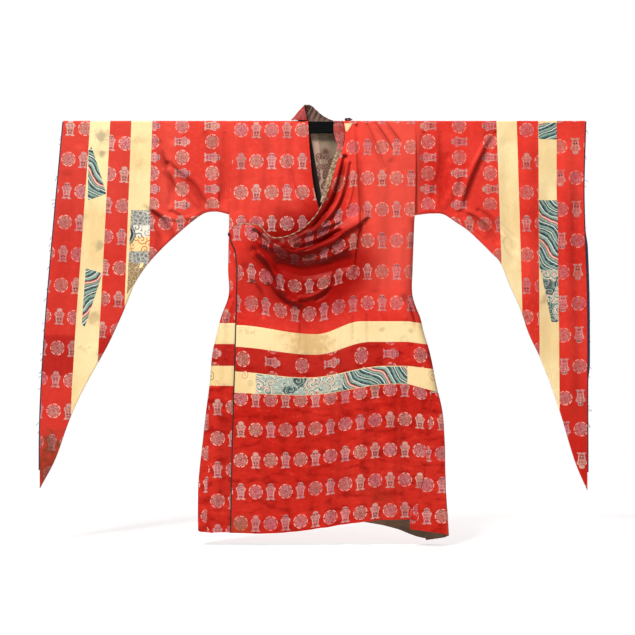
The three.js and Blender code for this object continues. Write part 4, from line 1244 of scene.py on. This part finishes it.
def brocade_to_lining(name):
    """The neckband's dense brocade, turning to its flowered lining lower down."""
    g = Graph(name, roughness=0.6)
    x, z = g.uv("place")
    where = g.join(x, z)
    scroll = g.cells(where, 110.0, "DISTANCE_TO_EDGE")
    ground = g.mix(g.step(g.noise(where, 70.0), 0.35, 0.65), (180, 50, 40), (142, 38, 34))
    threads = g.mix(g.step(g.noise(where, 130.0), 0.45, 0.6), (184, 112, 106), (140, 88, 84))
    patch = g.step((z + 0.008).abs(), 0.006, 0.014)
    top = g.mix(g.step(scroll, 0.08, 0.22) * patch * 0.8, ground, threads)
    petals = g.cells(g.join(x + g.noise(where, 16.0) * 0.02, z), 70.0)
    tan = g.mix(g.step(g.noise(where, 40.0), 0.4, 0.6), (170, 146, 112), (146, 124, 92))
    low = g.mix(g.step((petals - 0.45).abs(), 0.16, 0.05) * 0.8, tan, (104, 54, 44))
    g.bump(weave(x, z, 3300) * 0.00008 + g.noise(where, 80.0) * 0.0012 + scroll * 0.0004, 0.8)
    return g.finish(g.mix(g.step(z - x * 0.5, -0.094, -0.104), top, low))


def plain_cloth(name, light, shade):
    g = Graph(name, roughness=0.75)
    x, z = g.uv("place")
    where = g.join(x, z)
    g.bump(weave(x, z, 2600) * 0.0001 + g.noise(where, 90.0) * 0.001, 0.8)
    return g.finish(g.mix(g.step(g.noise(where, 70.0, 3.0), 0.3, 0.7), light, shade))


def cord_silk(name, light, shade, twist=900.0):
    """A twisted cord, from its length and its turn, with painted highlight on its strands' crowns and
    painted shade in the grooves between them.
    """
    g = Graph(name, roughness=0.6, sheen=0.1)
    u, v = g.uv("cloth")
    ragged = g.noise(g.join(*g.uv("place")), 90.0) - 0.5
    lay = (u * (twist * MM) + v * (2 * math.pi)).sin() * 0.5 + ragged
    g.bump(lay * 0.0004, 0.8)
    return g.finish(g.mix(g.step(lay, -0.6, 0.6), shade, light))


def black_bar(name):
    """Black paint with faint scratches along the bar, and a groove along each edge."""
    g = Graph(name, specular=0.08)
    x, y, z = g.split(g.node("TexCoord", {}, output="Object"))
    scratches = g.noise(g.join(x * 3, z * 60 + y * 60), 12.0, 3.0)
    groove = g.step((z.abs() - 0.0065).abs(), 0.0012, 0.0003)
    g.bump(scratches * 0.0002 - groove * 0.0008)
    return g.finish(g.mix(g.step(scratches, 0.4, 0.8), (3, 4, 5), (9, 11, 13)), 0.5 + scratches * 0.3)


red = red_silk("red_damask")
brocade = red_silk("dense_brocade", dense=True)
# The back takes a little of the painted shade under the cowl.
back_red = red_silk("red_damask_back", cowl_shade_strength=0.2)
cream = cream_silk("cream_satin")
lining = tan_lining("tan_lining", (156, 122, 104))
flowered = tan_lining("flowered_lining", (150, 124, 104), flowers=True)
hem_lining = tan_lining("hem_lining", (122, 92, 70))
neckband_cloth = brocade_to_lining("neckband_brocade")
navy = plain_cloth("navy_lining", (34, 36, 78), (20, 22, 44))
fray = plain_cloth("frayed_threads", (92, 46, 56), (52, 38, 66))
black_cord = cord_silk("black_piping", (18, 10, 10), (6, 3, 3))
tan_cord = cord_silk("tan_piping", (196, 152, 118), (96, 62, 50), 300.0)
maroon = cord_silk("maroon_cord", (96, 26, 38), (46, 12, 20), 1400.0)
waves = wave_embroidery("wave_embroidery", -40, 0.010, 0.078)
steep_waves = wave_embroidery("steep_wave_embroidery", -42, 0.008, 0.074)
rising_waves = wave_embroidery("rising_wave_embroidery", 36, 0.006, 0.074)
clouds = cloud_embroidery("cloud_embroidery", 0.026)
curled_clouds = cloud_embroidery("curled_cloud_embroidery", 0.022, 0.1, 0.6)
grey_brocade = left_brocade("left_brocade")

# ---------------------------------------------------------------- pieces


def keep(piece, node, slot, area=None):
    """Puts a piece in its CAD node's place, hiding that node. The cloth's cut, area, is not used."""
    if node:
        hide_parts(node)
    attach(piece, "root")


def lattice(x0, z0, turn=0, pitch=PITCH, row=ROW):
    """Places on the damask, in motifs and rows, with an upright figure at the given point."""
    angle = math.radians(turn)
    rx, rz, ux, uz = math.cos(angle), -math.sin(angle), math.sin(angle), math.cos(angle)

    def at(x, z):
        dx, dz = x - x0, z - z0
        return (dx * rx + dz * rz) / pitch, (dx * ux + dz * uz) / row

    return at


PLAIN = lattice(0, 0)
OUTER_CHEST = lattice(91, -369.5, pitch=47.2, row=101.4)
OUTER_SKIRT = lattice(-273, -950, pitch=48.4, row=98)
MIDDLE_BAND = lattice(-266, -683, turn=90, pitch=54, row=96)
INNER_CHEST = lattice(-273, -111, pitch=49.8)
INNER_SKIRT = lattice(-349, -911, pitch=49.8)
BACK_CLOTH = lattice(0, -120)
BAND_CLOTH = lattice(44, -10, pitch=30, row=40)
SLEEVE_CLOTH = {
    "left": {
        "upper": lattice(-367, 4, turn=90, pitch=51.4, row=97.5),
        "gusset": lattice(-470, -312),
        "red_middle": lattice(-653, -155, turn=2.7),
        "cuff": lattice(-829, -2, turn=3.4, pitch=49, row=102.6),
    },
    "right": {
        "upper": lattice(336, 4, turn=-90, pitch=51.4, row=100.7),
        "gusset": lattice(470, -316),
        "red_middle": lattice(656, -111),
        "cuff": lattice(815, -62, turn=178.8, pitch=51, row=102.4),
    },
}
CELL = 5.0  # mm between the points of a sheet
CUFF_THREADS = 34
TURN_SHARES = np.array([0.004, 0.008, 0.016, 0.024])


def counts(length):
    """Rows or columns in a length."""
    return max(3, int(round(length / CELL)) + 1)


def side_columns(width, turns_at_start, turns_at_end):
    """Shares along a row, closer together where the cloth turns at a side."""
    start = TURN_SHARES if turns_at_start else []
    end = 1 - TURN_SHARES if turns_at_end else []
    return np.unique(np.concatenate([np.linspace(0, 1, counts(width)), start, end]))


def tier_finish(index, damask=red):
    """A tier's silk and its slot."""
    return (cream, "cream_silk") if index in (1, 3) else (damask, "red_silk")


def stacked(join, *parts):
    """X, Y and Z of several parts of a sheet, joined by rows or by columns."""
    return [join(values) for values in zip(*parts)]


def over_the_bar(xs):
    """Rows of a front panel over the bar, from behind it to its front."""
    y, z = crest()
    y = np.concatenate([[CREST["half"]], y[:0:-1]])
    z = np.concatenate([[BEHIND_TOP], z[:0:-1]])
    x = np.broadcast_to(xs, (len(y), len(xs)))
    return x, np.broadcast_to(y[:, None], x.shape), np.broadcast_to(z[:, None], x.shape)


def trimmed_to_neck(x, y, z, faces, over):
    """The faces below the neck edge, and the points with that rim drawn to the edge. Points over
    the bar only move along it."""
    distance, side, place = nearest(FINE_NECK[:, :2], x, z)
    kept = faces[(side == side[-1])[faces].sum(1) >= 3]
    rim = np.zeros(len(x), bool)
    rim[rim_edges(kept)] = True
    drawn = rim & (distance < 2.2 * CELL) & (z >= FLAP_EDGE["z"][1])
    leg = np.clip(place.astype(int), 0, len(FINE_NECK) - 2)
    edge = lerp(FINE_NECK[leg], FINE_NECK[leg + 1], (place - leg)[:, None])
    x = np.where(drawn, edge[:, 0], x)
    z = np.where(drawn & ~over, edge[:, 1], z)
    y = np.where(drawn & ~over, -outer_depth(x, z), y)
    return x, y, z, kept


def outer_chest():
    top, bottom = FRONT_TOP, OUTER_LINES[0]
    shares = side_columns(1000, False, True)
    v = np.linspace(top, bottom, counts(1.6 * (top - bottom)))[:, None]
    x = lerp(flap_start(v), outer_side(v, False), shares)
    v = np.broadcast_to(v, x.shape)
    above = over_the_bar(lerp(-318.0, 295.5, shares))
    x, y, z = stacked(np.vstack, above, outer_point(x, v))
    v = np.vstack([above[2] - above[1], v])
    faces = grid_faces(*x.shape)
    over = np.arange(x.size) < above[0].size
    cloth = np.column_stack([values.ravel() for values in OUTER_CHEST(x, v)])
    x, y, z, kept = trimmed_to_neck(x.ravel(), y.ravel(), z.ravel(), faces, over)
    used = np.unique(kept)
    points = np.column_stack([x, y, z])[used]
    # Painted shade in the folds and along the neck edge, none over the bar.
    dark = np.where(over, 0.0, outer_creases(x, z))[used]
    faces = np.searchsorted(used, kept)
    piece = shell("outer_front_chest_silk", points, faces, cloth[used], red, lining, crease=dark)
    keep(piece, "outer_front_chest", "red_silk", area=0.62 * 0.72 * 0.68)


def outer_tier(index):
    skirt = index == 4
    top, bottom = OUTER_LINES[index - 1 : index + 1]
    v = np.linspace(top, bottom, counts(top - bottom))[:, None]
    x = lerp(flap_start(v), outer_side(v, skirt), side_columns(640, False, not skirt))
    v = np.broadcast_to(v, x.shape)
    x, y, z = outer_point(x, v, skirt)
    cloth = (MIDDLE_BAND if index == 2 else OUTER_SKIRT)(x, v)
    name = f"outer_front_{TIERS[index]}"
    silk, slot = tier_finish(index)
    # Painted shade in its folds.
    piece = grid_shell(f"{name}_silk", (x, y, z), cloth, silk, hem_lining, crease=outer_creases(x, z))
    keep(piece, name, slot)


INNER_CLOTHS = [INNER_CHEST, INNER_CHEST, MIDDLE_BAND, INNER_SKIRT, INNER_SKIRT]


def inner_tier(index):
    skirt = index == 4
    top, bottom = ([FRONT_TOP] + INNER_LINES)[index : index + 2]
    z = np.linspace(top, bottom, counts(top - bottom))[:, None]
    shares = side_columns(420, not skirt, False)
    x = lerp(inner_edge(z, skirt), flow(INNER_NECK, "z", z, "x"), shares)
    z = np.broadcast_to(z, x.shape)
    if skirt:
        z = z + 36 * smoothstep((x + 260) / 240) * (top - z) / (top - bottom)
    x, y, z = inner_point(x, z, skirt)
    v, area = z, None
    if index == 0:
        above = over_the_bar(x[0])
        x, y, z = stacked(np.vstack, above, (x, y, z))
        v = np.vstack([above[2] - above[1], v])
        area = 0.49 * 0.67 * 0.72
    name = f"inner_front_{TIERS[index]}"
    silk, slot = tier_finish(index)
    # Painted shade in its folds.
    dark = creases(inner_folds, x, z)
    cloth = INNER_CLOTHS[index](x, v)
    piece = grid_shell(f"{name}_silk", (x, y, z), cloth, silk, hem_lining, crease=dark)
    keep(piece, name, slot, area=area)


# Each back tier's length for its rows, in mm, and its cut width and length in metres.
BACK_CUTS = [(660, 0.6, 0.655), (70, 0.69, 0.067), (75, 0.72, 0.075), (70, 0.74, 0.068), (450, 0.72, 0.46)]


def back_line(line, x):
    if line == 4:
        return flow(BACK_HEM, "x", x, "z")
    left, right = BACK_LINES[line]
    return lerp(left, right, np.clip((x + 350) / 700, 0, 1))


def back_tier(index):
    skirt = index == 4
    tall, width, length = BACK_CUTS[index]
    down = np.linspace(0, 1, counts(tall))[:, None]

    def height(x):
        top = np.full_like(x, WALL_TOP) if index == 0 else back_line(index - 1, x)
        return lerp(top, back_line(index, x), down)

    def side(start, name):
        x = np.full_like(down, start)
        for _ in range(5):
            z = height(x)
            x = read(SKIRT_EDGES, "z", z, "back_" + name) if skirt else flow(OUTLINE, "z", z, name)
        return x

    left, right = side(-300, "left"), side(300, "right")
    x = lerp(left, right, side_columns(660, not skirt, not skirt))
    z = height(x)
    depth = back_depth(x, z) + seam_dip(z, [back_line(line, x) for line in range(4)])
    if not skirt:
        depth = turned(depth, np.minimum(x - left, right - x), z)
    x, y, z = x[:, ::-1], depth[:, ::-1], z[:, ::-1]
    name = f"back_{TIERS[index]}"
    silk, slot = tier_finish(index, back_red)
    inside = flowered if index == 0 else hem_lining
    # Painted shade in its folds.
    dark = creases(back_folds, x, z)
    piece = grid_shell(f"{name}_silk", (x, y, z), BACK_CLOTH(x, z), silk, inside, crease=dark)
    keep(piece, name, slot)


def gore_row(name, t):
    """Points round a gore from its front edge to its back edge, at a share of its height."""
    side, layer, _, top, hem = GORES[name]
    front_z, side_z, back_z = lerp(np.array(top), np.array(hem), t)
    front = -flow(DEPTHS, "z", front_z, layer) + 2
    back = flow(DEPTHS, "z", back_z, "back") - 2
    centre = flow(OUTLINE, "z", side_z, name) - side * 8
    row = [
        (read(SKIRT_EDGES, "z", front_z, layer) - side * 22, front, front_z),
        (centre - side, front, lerp(front_z, side_z, 0.7)),
    ]
    for degrees in (-60, -20, 20, 60):
        turn = math.radians(degrees)
        y = (front + back) / 2 + (back - front) / 2 * math.sin(turn)
        row.append((centre + side * 8 * math.cos(turn), y, lerp(side_z, back_z, 0.2 if degrees > 0 else 0)))
    row.append((centre - side, back, lerp(side_z, back_z, 0.5)))
    row.append((read(SKIRT_EDGES, "z", back_z, "back_" + name) - side * 22, back, back_z))
    return curved(row, 8)[::side]


def gore(name):
    side, _, width, _, _ = GORES[name]
    rows = [gore_row(name, t) for t in np.linspace(0, 1, counts(470))]
    x, y, z = np.moveaxis(np.array(rows), -1, 0)
    wave = 2.0 * np.sin(z / 47 + x / 19) + 1.4 * np.sin(z / 21 - x / 33)
    y = y + np.sign(y) * wave * 0.5 * smoothstep(np.abs(y) / 12)
    piece = grid_shell(f"{name}_gore_silk", (x, y, z), lattice(side * 380, -960)(x, z), red, hem_lining)
    keep(piece, f"{name}_gore", "red_silk")


def half_depth(z):
    return read(SLEEVE_DEPTH, "z", z, "half")


def seam_columns(side, first):
    """Columns of a sleeve from one seam to the next: the low X, the top X and the low Z."""
    seams = table("top low z", *SLEEVE_SEAMS[side])
    edge = table("x z", *LOWER_EDGE[side], *(seam[1:] for seam in SLEEVE_SEAMS[side]))
    width = abs(seams["top"][first + 1] - seams["top"][first])
    low = np.linspace(seams["low"][first], seams["low"][first + 1], max(4, counts(width)))
    low = low[::-1] if side == "left" else low
    return low, read(seams, "low", low, "top"), flow(edge, "x", low, "z")


SLEEVE_LIFT = {-1: 2.1, 1: 1.5}  # how strongly the folds show on the front wall and the back wall


def sleeve_relief(side, x, z, facing=-1):
    """How far a wall of a sleeve stands out, from the bar down."""
    waves = ripple(x + (200 if facing > 0 else 0), z, 0.8)
    relief = sleeve_folds[side].at(x, z) * SLEEVE_LIFT[facing] + waves
    return np.clip(relief, -5.5, 8) * smoothstep((10 - z) / 60)


def sleeve_wall(side, low, top, z_low, heights, facing):
    """Points of one wall of a sleeve, at the given heights in each column."""
    x = lerp(top[:, None], low[:, None], (CREST["top"] - heights) / (CREST["top"] - z_low[:, None]))
    x = x + flow(CUFF_BOW[side], "z", heights, "out") * smoothstep((np.abs(x) - 700) / 150)
    relief = sleeve_relief(side, x, heights, facing) * smoothstep((heights - z_low[:, None]) / 50)
    return x, facing * (half_depth(heights) + relief), heights


def sleeve_top(top, narrow=1.0, drop=0.0):
    """Columns over the bar, from the front to the back."""
    y, z = crest()
    x = np.repeat(top[:, None], len(y), 1)
    return x, np.broadcast_to(y * narrow, x.shape), np.broadcast_to(z - drop, x.shape)


def sleeve_panel(side, name):
    """A panel round the whole sleeve, or one of the two that the gusset's seam parts."""
    first, length, width, share = SLEEVE_PANELS[name]
    low, top, z_low = seam_columns(side, first)
    seam = np.maximum(GUSSET["seam"], z_low + GUSSET["least"])
    begin = seam if name == "gusset" else np.full_like(seam, WALL_TOP)
    lowest = z_low + np.minimum(LOWER_TURN, (begin - z_low) * 0.7)
    ends = seam if name == "upper" else lowest
    rows = np.linspace(0, 1, counts(max(begin - ends)))
    heights = lerp(begin[:, None], ends[:, None], rows)
    front = sleeve_wall(side, low, top, z_low, heights[:, ::-1], -1)
    back = sleeve_wall(side, low, top, z_low, heights, 1)
    over = sleeve_top(top)
    turn = np.radians(np.linspace(0, 180, 9))[1:-1]
    under_z = ends[:, None] - (ends - z_low)[:, None] * np.sin(turn) ** 0.8
    under_x = np.broadcast_to(front[0][:, :1], under_z.shape)
    under = (under_x, half_depth(z_low)[:, None] * np.cos(turn), under_z)
    parts = {"upper": (front, over, back), "gusset": (back, under, front)}
    x, y, z = stacked(np.hstack, *parts.get(name, (front, over, back, under)))
    cloth = SLEEVE_CLOTH[side].get(name, PLAIN)(x, z)
    silk, slot = (cream, "cream_silk") if name.startswith("cream") else (red, "red_silk")
    # Painted shade in the sleeve's folds.
    look = {"closed": name not in parts, "crease": creases(sleeve_folds[side], x, z, steep=1.3)}
    piece = grid_shell(f"{side}_sleeve_{name}_silk", (x, y, z), cloth, silk, lining, **look)
    keep(piece, f"{side}_sleeve_{name}", slot, area=length * width * share)


LINING_PEEK = {"left": 0, "right": 5}  # how far the lining's middle comes out past the cuff


def cuff_lining(side):
    sign = -1 if side == "left" else 1
    top, low, z_end = SLEEVE_SEAMS[side][-1]
    columns = np.linspace(-12, 4, 5)[::sign]
    tops, lows = top + sign * columns, low + sign * columns
    heights = np.tile(np.linspace(WALL_TOP, z_end + 60, counts(1100)), (5, 1))

    def wall(facing, heights):
        x, y, z = sleeve_wall(side, lows, tops, np.full(5, z_end), heights, facing)
        peek = LINING_PEEK[side] * smoothstep((-330 - z) / 60) * smoothstep((z + 830) / 60)
        return x + sign * peek * (columns[:, None] + 12) / 16, y - facing * 1.8, z

    x, y, z = stacked(np.hstack, wall(-1, heights[:, ::-1]), sleeve_top(tops, 0.85, 1.8), wall(1, heights))
    name = f"{side}_cuff_lining"
    cloth = PLAIN(x, z)
    piece = grid_shell(f"{name}_cotton", (x, y, z), cloth, navy, navy, thickness=0.8, closed=True)
    keep(piece, name, "navy_lining")


def quad(corners, wide, tall):
    """Shares across and down a patch with four corners, and their X and Z."""
    a, b, c, d = np.array(corners, float)
    s, t = np.meshgrid(np.linspace(0, 1, wide), np.linspace(0, 1, tall))
    across = s[..., None]
    x, z = np.moveaxis(lerp(lerp(a, b, across), lerp(d, c, across), t[..., None]), -1, 0)
    return s, t, x, z


def sleeve_scrap(name, corners, material):
    a, b, c, d = np.array(corners, float)
    tall = counts(np.linalg.norm(a - d)) + 1
    wide = counts(max(np.linalg.norm(a - b), np.linalg.norm(c - d))) + 1
    s, t, x, z = quad(corners, wide, tall)
    inset = np.minimum(np.minimum(s, 1 - s) * wide, np.minimum(t, 1 - t) * tall)
    depth = half_depth(z) + sleeve_relief(name.split("_")[0], x, z)
    y = -(depth + 0.6 + 0.5 * smoothstep(inset / 1.5))
    piece = grid_shell(f"{name}_silk", (x, y, z), PLAIN(x, z), material, lining, thickness=0.6)
    (ax, az), (bx, bz) = (c - a) * MM, (d - b) * MM
    area = abs(ax * bz - az * bx) / 2
    keep(piece, name, "embroidery", area=round(area, 5))


def skirt_scrap(name, start, end, material):
    heights = np.linspace(OUTER_LINES[2] - 2, OUTER_LINES[3] + 2, 16)
    v, x = np.meshgrid(heights, np.linspace(start, end, 60), indexing="ij")
    x, y, z = outer_point(x, v)
    inset = np.minimum(np.minimum(x - start, end - x), np.minimum(v - v.min(), v.max() - v)) / 4
    y = y - 0.7 - 0.5 * smoothstep(inset)
    piece = grid_shell(f"{name}_silk", (x, y, z), PLAIN(x, v), material, lining, thickness=0.6)
    keep(piece, name, "embroidery")


def collar():
    """The band collar, fanned in pleats where it stands over the shoulder."""
    seam, free = (curved(points, 12) for points in zip(*COLLAR))
    share = np.linspace(0, 1, 20)[None, :]
    along = np.arange(len(free))[:, None] / 12
    grid = lerp(free[:, None], seam[:, None], share[..., None])
    fan = smoothstep((along - 3.2) / 1.2) * bell((along - 4.5) / 5)
    pleats = 2.4 * (np.sin(along * 9) + 0.5 * np.sin(along * 23)) * fan * bell(share * 0.8)
    roll = 2.5 * np.sin(np.pi * share)
    normal = np.cross(np.gradient(grid, axis=0), np.gradient(grid, axis=1))
    normal /= np.maximum(np.linalg.norm(normal, axis=2, keepdims=True), 1e-9)
    x, y, z = np.moveaxis(grid + normal * (pleats + roll)[..., None], -1, 0)
    cloth = np.broadcast_arrays(share * 55 / ROW + 0.2, along * 22 / PITCH + 0.6)
    # Painted shade over the whole collar, deeper in the pleats' hollows and less on their ridges.
    dark = np.clip(0.5 - pleats / 3.6, 0, 1)
    piece = grid_shell("collar_silk", (x, y, z), cloth, brocade, lining, crease=dark)
    keep(piece, "collar", "red_silk")


def inner_neckband():
    z = np.linspace(14, -258, counts(270))[:, None]
    shares = np.linspace(0, 1, 16)
    x = lerp(flow(INNER_NECKBAND, "z", z, "seam"), flow(INNER_NECK, "z", z, "x"), shares)
    x, y, z = inner_point(x, np.broadcast_to(z, x.shape))
    taper = smoothstep((z + 256) / 50)
    roll = np.sin(np.pi * np.clip(shares * 1.6, 0, 1)) ** 0.6 * smoothstep((14 - z) / 30)
    y = y - 0.4 - (0.5 + 2.6 * roll) * taper
    # Painted shade along the band's seam and over its half towards the inner front's edge.
    dark = 0.3 * np.maximum(bell(shares * 5), 0.6 * smoothstep(shares * 2 - 1))
    look = {"thickness": 1.2, "crease": np.broadcast_to(dark, x.shape)}
    piece = grid_shell("inner_neckband_silk", (x, y, z), INNER_CHEST(x, z), red, lining, **look)
    keep(piece, "inner_neckband", "red_silk")


def outer_neckband():
    z = np.linspace(16, -246, counts(262))[:, None]
    edge = np.interp(-z, -NECK_EDGE["z"][1:], NECK_EDGE["x"][1:])
    shares = np.linspace(0, 1, 12)
    x = edge - 1 - flow(OUTER_NECKBAND, "z", z, "width") * (1 - shares)
    y = -(outer_depth(edge, z) - 2.6 + 1.2 * np.sin(np.pi * shares))
    above = over_the_bar(np.linspace(28, 59.7, 12))
    x, y, z = stacked(np.vstack, above, (x, y, np.broadcast_to(z, x.shape)))
    piece = grid_shell("outer_neckband_silk", (x, y, z), BAND_CLOTH(x, z), neckband_cloth, lining)
    keep(piece, "outer_neckband", "red_silk", area=0.034 * 0.29 * 0.65)


# ---------------------------------------------------------------- trim


def beside(edge, reach):
    """A path beside a sheet's edge, in the middle of its thickness."""
    along = np.gradient(edge, axis=0)
    out = np.column_stack([along[:, 2], np.zeros(len(edge)), -along[:, 0]])
    out /= np.maximum(np.linalg.norm(out, axis=1, keepdims=True), 1e-9)
    return edge + out * reach + np.array([0, CLOTH / 2, 0])


def neck_piping():
    path = FINE_NECK[(FINE_NECK[:, 1] < -55) & (FINE_NECK[:, 0] > -300)]
    x, z = path[:, 0], path[:, 1]
    edge = np.column_stack([x, -outer_depth(x, z) - 0.3, z])
    piece = tube("neck_piping_cord", beside(edge, 1.2), 1.7, tan_cord, sides=10)
    keep(piece, "neck_piping", "tan_lining")


def flap_piping():
    v = np.linspace(-392, OUTER_LINES[4], 180)
    edge = np.column_stack(outer_point(flap_start(v), v, True))
    piece = tube("flap_piping_cord", beside(edge, 1.6), 2.2, black_cord)
    keep(piece, "flap_piping", "black_piping")


def wound_knot(node, centre, size, turns):
    """A knotted cord: a few loops wound round one another."""
    t = np.linspace(0, 2 * np.pi, 120)
    p, q = turns
    radius = 0.62 + 0.3 * np.cos(q * t)
    path = np.column_stack([radius * np.cos(p * t), 0.34 * np.sin(q * t), radius * np.sin(p * t)])
    path = path * size / 2 + centre
    keep(tube(f"{node}_cord", path, min(size) * 0.17, maroon), node, "maroon_cord")


def loop_tab():
    s, _, x, z = quad([(63, 12), (89, 12), (74, -14), (68, -14)], 9, 11)
    y = -(outer_depth(x, z) + 1.2 + 0.8 * np.sin(np.pi * s))
    # Darkened evenly through the layer that carries the painted fold shade.
    piece = grid_shell("loop_tab_silk", (x, y, z), PLAIN(x, z), cream, cream, thickness=0.8, crease=0.45)
    keep(piece, "loop_tab", "cream_silk")


def frayed_threads():
    """Loose threads at the cuffs' edges, each from its place on the edge."""
    draw = np.random.default_rng(7)
    t = np.linspace(0, 1, 8)
    made = []
    for side, sign in (("left", -1), ("right", 1)):
        top, low, z_end = SLEEVE_SEAMS[side][-1]
        for _ in range(CUFF_THREADS):
            z = draw.uniform(-1000, 0)
            edge = lerp(top, low, (CREST["top"] - z) / (CREST["top"] - z_end))
            edge = edge + flow(CUFF_BOW[side], "z", z, "out")
            length, fall, curl = draw.uniform(5, 24), draw.uniform(0.1, 0.9), draw.uniform(-4, 4)
            x = edge + sign * (length * np.sin(t * 1.3) * (1 - fall * 0.5) - 2)
            y = draw.uniform(-8, 8) + curl * t
            path = np.column_stack([x, y, z - length * fall * t**1.6 + 1.5 * np.sin(t * 5 + curl)])
            made.append(tube(f"thread_{len(made)}", path, 0.6, fray, sides=4))
    bpy.ops.object.select_all(action="DESELECT")
    for thread in made:
        thread.select_set(True)
    bpy.context.view_layer.objects.active = made[0]
    bpy.ops.object.join()
    made[0].name = "frayed_threads"
    keep(made[0], None, "maroon_cord")


# ---------------------------------------------------------------- build

SCRAP_CLOTHS = {
    "left_wave_scrap_upper": steep_waves,
    "left_wave_scrap_lower": rising_waves,
    "left_brocade_scrap": grey_brocade,
    "right_wave_scrap_upper": rising_waves,
    "right_wave_scrap_lower": steep_waves,
    "right_cloud_scrap": curled_clouds,
}

outer_chest()
for tier in range(1, 5):
    outer_tier(tier)
for tier in range(5):
    inner_tier(tier)
    back_tier(tier)
for side in ("left", "right"):
    gore(side)
    for panel in SLEEVE_PANELS:
        sleeve_panel(side, panel)
    cuff_lining(side)
for name, corners in SCRAPS.items():
    sleeve_scrap(name, corners, SCRAP_CLOTHS[name])
skirt_scrap("skirt_cloud_scrap", -225, 57.5, clouds)
skirt_scrap("skirt_wave_scrap", 57.5, 267, waves)
collar()
inner_neckband()
outer_neckband()
neck_piping()
flap_piping()
wound_knot("shoulder_knot", (76, 0, 25.8), (26, 15, 9.6), (2, 5))
wound_knot("side_knot", (-311, -float(outer_depth(-311, -350)) - 5.3, -350), (9, 11, 11), (2, 3))
loop_tab()
frayed_threads()

bar = bpy.data.objects["bar"].data
bar.materials.clear()
bar.materials.append(black_bar("bar_paint"))

# ---------------------------------------------------------------- stage

FLOOR = {"z": -1.362, "radius": 2.2, "glow": 0.46}
DISTANCE = 6.0  # from the camera to the bar
VIEW_WIDTH = 2.064
VIEW_CENTRE = (-0.0244, -0.6198)


def pale_floor():
    """A round floor that glows a little, so that it is as white as the background."""
    turns = [2 * math.pi * k / 96 for k in range(96)]
    ring = [(FLOOR["radius"] * math.cos(t), FLOOR["radius"] * math.sin(t), FLOOR["z"]) for t in turns]
    mesh = bpy.data.meshes.new("floor")
    mesh.from_pydata(ring, [], [list(range(96))])
    g = Graph("pale_floor", roughness=0.9)
    g.shader.inputs["Emission Color"].default_value = (1, 1, 1, 1)
    g.shader.inputs["Emission Strength"].default_value = FLOOR["glow"]
    grain = g.noise(g.node("TexCoord", {}, "Object"), 3.0, dimensions="3D")
    mesh.materials.append(g.finish(g.mix(grain, (0.64, 0.64, 0.64, 1), (0.66, 0.66, 0.66, 1))))
    floor = bpy.data.objects.new("floor", mesh)
    bpy.context.collection.objects.link(floor)


def studio_world():
    """White where it is seen and dim where it lights."""
    world = bpy.data.worlds.new("studio")
    bpy.context.scene.world = world
    world.use_nodes = True
    nodes, links = world.node_tree.nodes, world.node_tree.links
    nodes.clear()
    output = nodes.new("ShaderNodeOutputWorld")
    blend = nodes.new("ShaderNodeMixShader")
    rays = nodes.new("ShaderNodeLightPath")
    links.new(rays.outputs["Is Camera Ray"], blend.inputs[0])
    for slot, colour, strength in ((1, (1.0, 0.99, 0.98, 1), 0.08), (2, (1, 1, 1, 1), 1.0)):
        light = nodes.new("ShaderNodeBackground")
        light.inputs[0].default_value = colour
        light.inputs[1].default_value = strength
        links.new(light.outputs[0], blend.inputs[slot])
    links.new(blend.outputs[0], output.inputs[0])


def area_light(name, at, towards, size, power, colour=(1, 1, 1)):
    data = bpy.data.lights.new(name, "AREA")
    data.shape = "RECTANGLE"
    data.size, data.size_y = size
    data.energy = power
    data.color = colour
    lamp = bpy.data.objects.new(name, data)
    lamp.location = at
    lamp.rotation_euler = (Vector(towards) - Vector(at)).to_track_quat("-Z", "Y").to_euler()
    bpy.context.collection.objects.link(lamp)


def camera():
    """The whole robe, seen square on."""
    data = bpy.data.cameras.new("camera")
    data.sensor_width = 36
    data.lens = data.sensor_width * (DISTANCE - 0.02) / VIEW_WIDTH
    eye = bpy.data.objects.new("camera", data)
    eye.location = (VIEW_CENTRE[0], -DISTANCE, VIEW_CENTRE[1])
    eye.rotation_euler = (math.radians(90), 0, 0)
    bpy.context.collection.objects.link(eye)
    bpy.context.scene.camera = eye


pale_floor()
studio_world()
area_light("key", (-1.3, -2.3, 2.8), (0, 0, -0.5), (1.3, 0.8), 218, (1.0, 0.985, 0.96))
area_light("fill", (2.8, -3.4, 0.9), (0.3, 0, -0.5), (2.0, 2.0), 26)
area_light("behind", (0.5, 3.4, 2.4), (0, 0, -0.6), (2.5, 2.0), 170)
camera()
bpy.context.scene.view_settings.view_transform = "Standard"
bpy.context.scene.view_settings.look = "None"
